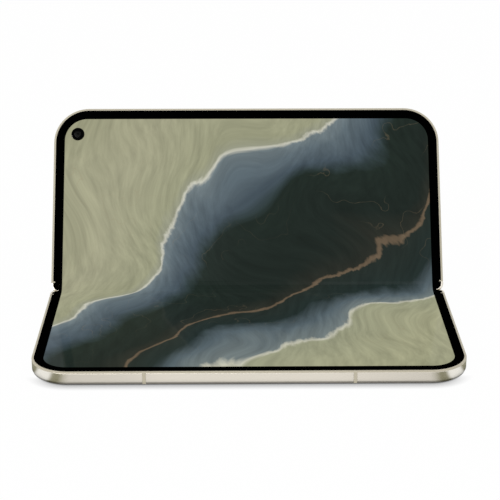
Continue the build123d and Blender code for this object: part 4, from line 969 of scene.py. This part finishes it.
weft = threads(cloth, size["Width"], size["Height"], 0.0)
warp = threads(cloth, maths(cloth, "ADD", size["Height"], size["Pitch"]), size["Width"], 1.0)
warp = shape(cloth, "Transform", {"Geometry": warp, "Rotation": (0, 0, math.pi / 2)})
upright = (math.pi / 2, 0, math.pi / 2)
ended(cloth, planted(cloth, size["Geometry"], gathered(cloth, weft, warp), upright), speaker_nylon)
for half, end in (("upper", 1), ("lower", -1)):
    seeds = [(end * SLOT_X, SLOT_Y + step, SLOT_Z) for step in (-SLOT_APART, SLOT_APART)]
    grown(half + "_sound_cloth", cloth, CLOTH, seeds, half + "_half", "speaker_plastic")

# %% [markdown]
# Contacts of the charging socket
#
# The tongue in the socket carries twelve gold contacts on each face, half a millimetre apart. One small plate with
# round corners is planted in a row, and the row is planted on both faces.

# %% Socket contacts
CONTACTS = {"Count": 12, "Pitch": 0.5, "Long": 3.1, "Wide": 0.26, "Thick": 0.04}
TONGUE_X, TONGUE_Y, TONGUE_Z, TONGUE_FACES = 72.9, 37.5, -2.78, (0.33, -0.37)
contacts, size = new_tree("contact_row", CONTACTS)
plated = rounded_bar(contacts, size["Long"], size["Wide"], size["Thick"], 0.08, 3)
spread = times(contacts, maths(contacts, "SUBTRACT", size["Count"], 1.0), size["Pitch"])
row = shape(contacts, "MeshLine", {"Count": size["Count"], "Offset": point(contacts, y=size["Pitch"]),
                                   "Start Location": point(contacts, y=times(contacts, spread, -0.5))})
ended(contacts, planted(contacts, size["Geometry"], planted(contacts, row, plated)), gold_plate)
grown("socket_contacts", contacts, CONTACTS, [(TONGUE_X, TONGUE_Y, TONGUE_Z + face) for face in TONGUE_FACES],
      "upper_half", "copper")

# %% [markdown]
# Charging coil
#
# Between battery and back glass lies a flat winding of enamelled copper wire. A spiral that stays flat, drawn with a
# round section, is the whole of it, from the same two radii as the CAD part that it stands for.

# %% Charging coil
COIL = {"Inner Radius": 10.7, "Outer Radius": 21.3, "Turns": 38.0, "Wire": 0.13}
COIL_MIDDLE = (14.25, 41.35, -4.345)
winding, size = new_tree("flat_winding", COIL)
spiral = shape(winding, "CurveSpiral", {"Resolution": 40, "Rotations": size["Turns"], "Height": 0.0,
                                        "Start Radius": size["Inner Radius"], "End Radius": size["Outer Radius"]})
ended(winding, planted(winding, size["Geometry"], tube(winding, spiral, size["Wire"], 6)), wound_copper)
grown("copper_winding", winding, COIL, [COIL_MIDDLE], "upper_half", "copper", "charging_coil")

# %% [markdown]
# Small parts on the boards
#
# The bare stretches of a phone's boards are strewn with tiny capacitors, each a ceramic bar with a metal cap at both
# ends. They are scattered with a least distance between them, from a fixed seed, and each is turned by a random
# number of quarter turns. The caps are marked, so that they can get their own finish at the end of the tree.

# %% Small parts on the boards
SCATTER = {"Spacing": 1.45, "Seed": 7, "Long": 1.0, "Wide": 0.5, "Tall": 0.46}
DENSITY = 0.6  # the most per square millimetre, before any that stand too close are left out
strewn, size = new_tree("strewn_capacitors", SCATTER)
ceramic = moulded("ceramic", (0.34, 0.25, 0.16, 1), 0.45, 4000.0, 0.000003)
solder_cap = metal("solder_cap", (0.66, 0.66, 0.64, 1.0), 0.3, 5000.0, 0.000002, 0.00003)


def bar(tree, share, wide, tall):
    """A bar of a share of the capacitor's length, centred on the board's surface."""
    made = rounded_bar(tree, times(tree, size["Long"], share), wide, tall, 0.05, 1)
    return shifted(tree, made, z=times(tree, tall, -0.5))


def fields(*spans):
    """Corner points and faces of flat fields, each given by its limits along X and Y and its height."""
    corners = [((x0, y0, z), (x1, y0, z), (x1, y1, z), (x0, y1, z)) for (x0, x1), (y0, y1), z in spans]
    return [spot for four in corners for spot in four], [range(4 * i, 4 * i + 4) for i in range(len(spans))]


middle_bar = bar(strewn, 0.56, times(strewn, size["Wide"], 0.92), times(strewn, size["Tall"], 0.9))
cap = bar(strewn, 0.24, size["Wide"], size["Tall"])
offset = times(strewn, size["Long"], 0.38)
caps = gathered(strewn, shifted(strewn, cap, offset), shifted(strewn, cap, times(strewn, offset, -1.0)))
caps = shape(strewn, "StoreNamedAttribute", {"Geometry": caps, "Name": "end_cap", "Value": True},
             data_type="BOOLEAN", domain="FACE")
spots = shape(strewn, "DistributePointsOnFaces", {"Mesh": size["Geometry"], "Distance Min": size["Spacing"],
                                                  "Density Max": DENSITY, "Seed": size["Seed"]},
              distribute_method="POISSON")
quarter = node(strewn, "FunctionNodeRandomValue", {"Seed": size["Seed"], 4: 0, 5: 3}, data_type="INT").outputs[2]
turn = point(strewn, z=times(strewn, quarter, math.pi / 2))
ended(strewn, planted(strewn, spots, gathered(strewn, middle_bar, caps), turn), ceramic, solder_cap)
BARE = {"upper": [((-46.5, -37.5), (11.0, 25.0), -1.9), ((-35.5, -19.5), (62.5, 69.8), -1.9),
                  ((-54.0, -37.5), (11.0, 25.0), -2.6), ((-35.5, -19.5), (48.5, 69.8), -2.6),
                  ((48.0, 68.3), (28.8, 53.8), -1.4), ((48.0, 68.3), (28.8, 53.8), -2.0)],
        "lower": [((-74.0, -62.0), (52.3, 60.8), -1.6), ((-74.0, -62.0), (52.3, 60.8), -2.2),
                  ((-59.8, -51.4), (62.5, 71.5), -1.6), ((-59.8, -51.4), (33.0, 71.5), -2.2)]}
for half, spans in BARE.items():
    verts, faces = fields(*spans)
    grown(half + "_board_capacitors", strewn, SCATTER, verts, half + "_half", "board", faces=faces)

# %% End
print("scene dressed")
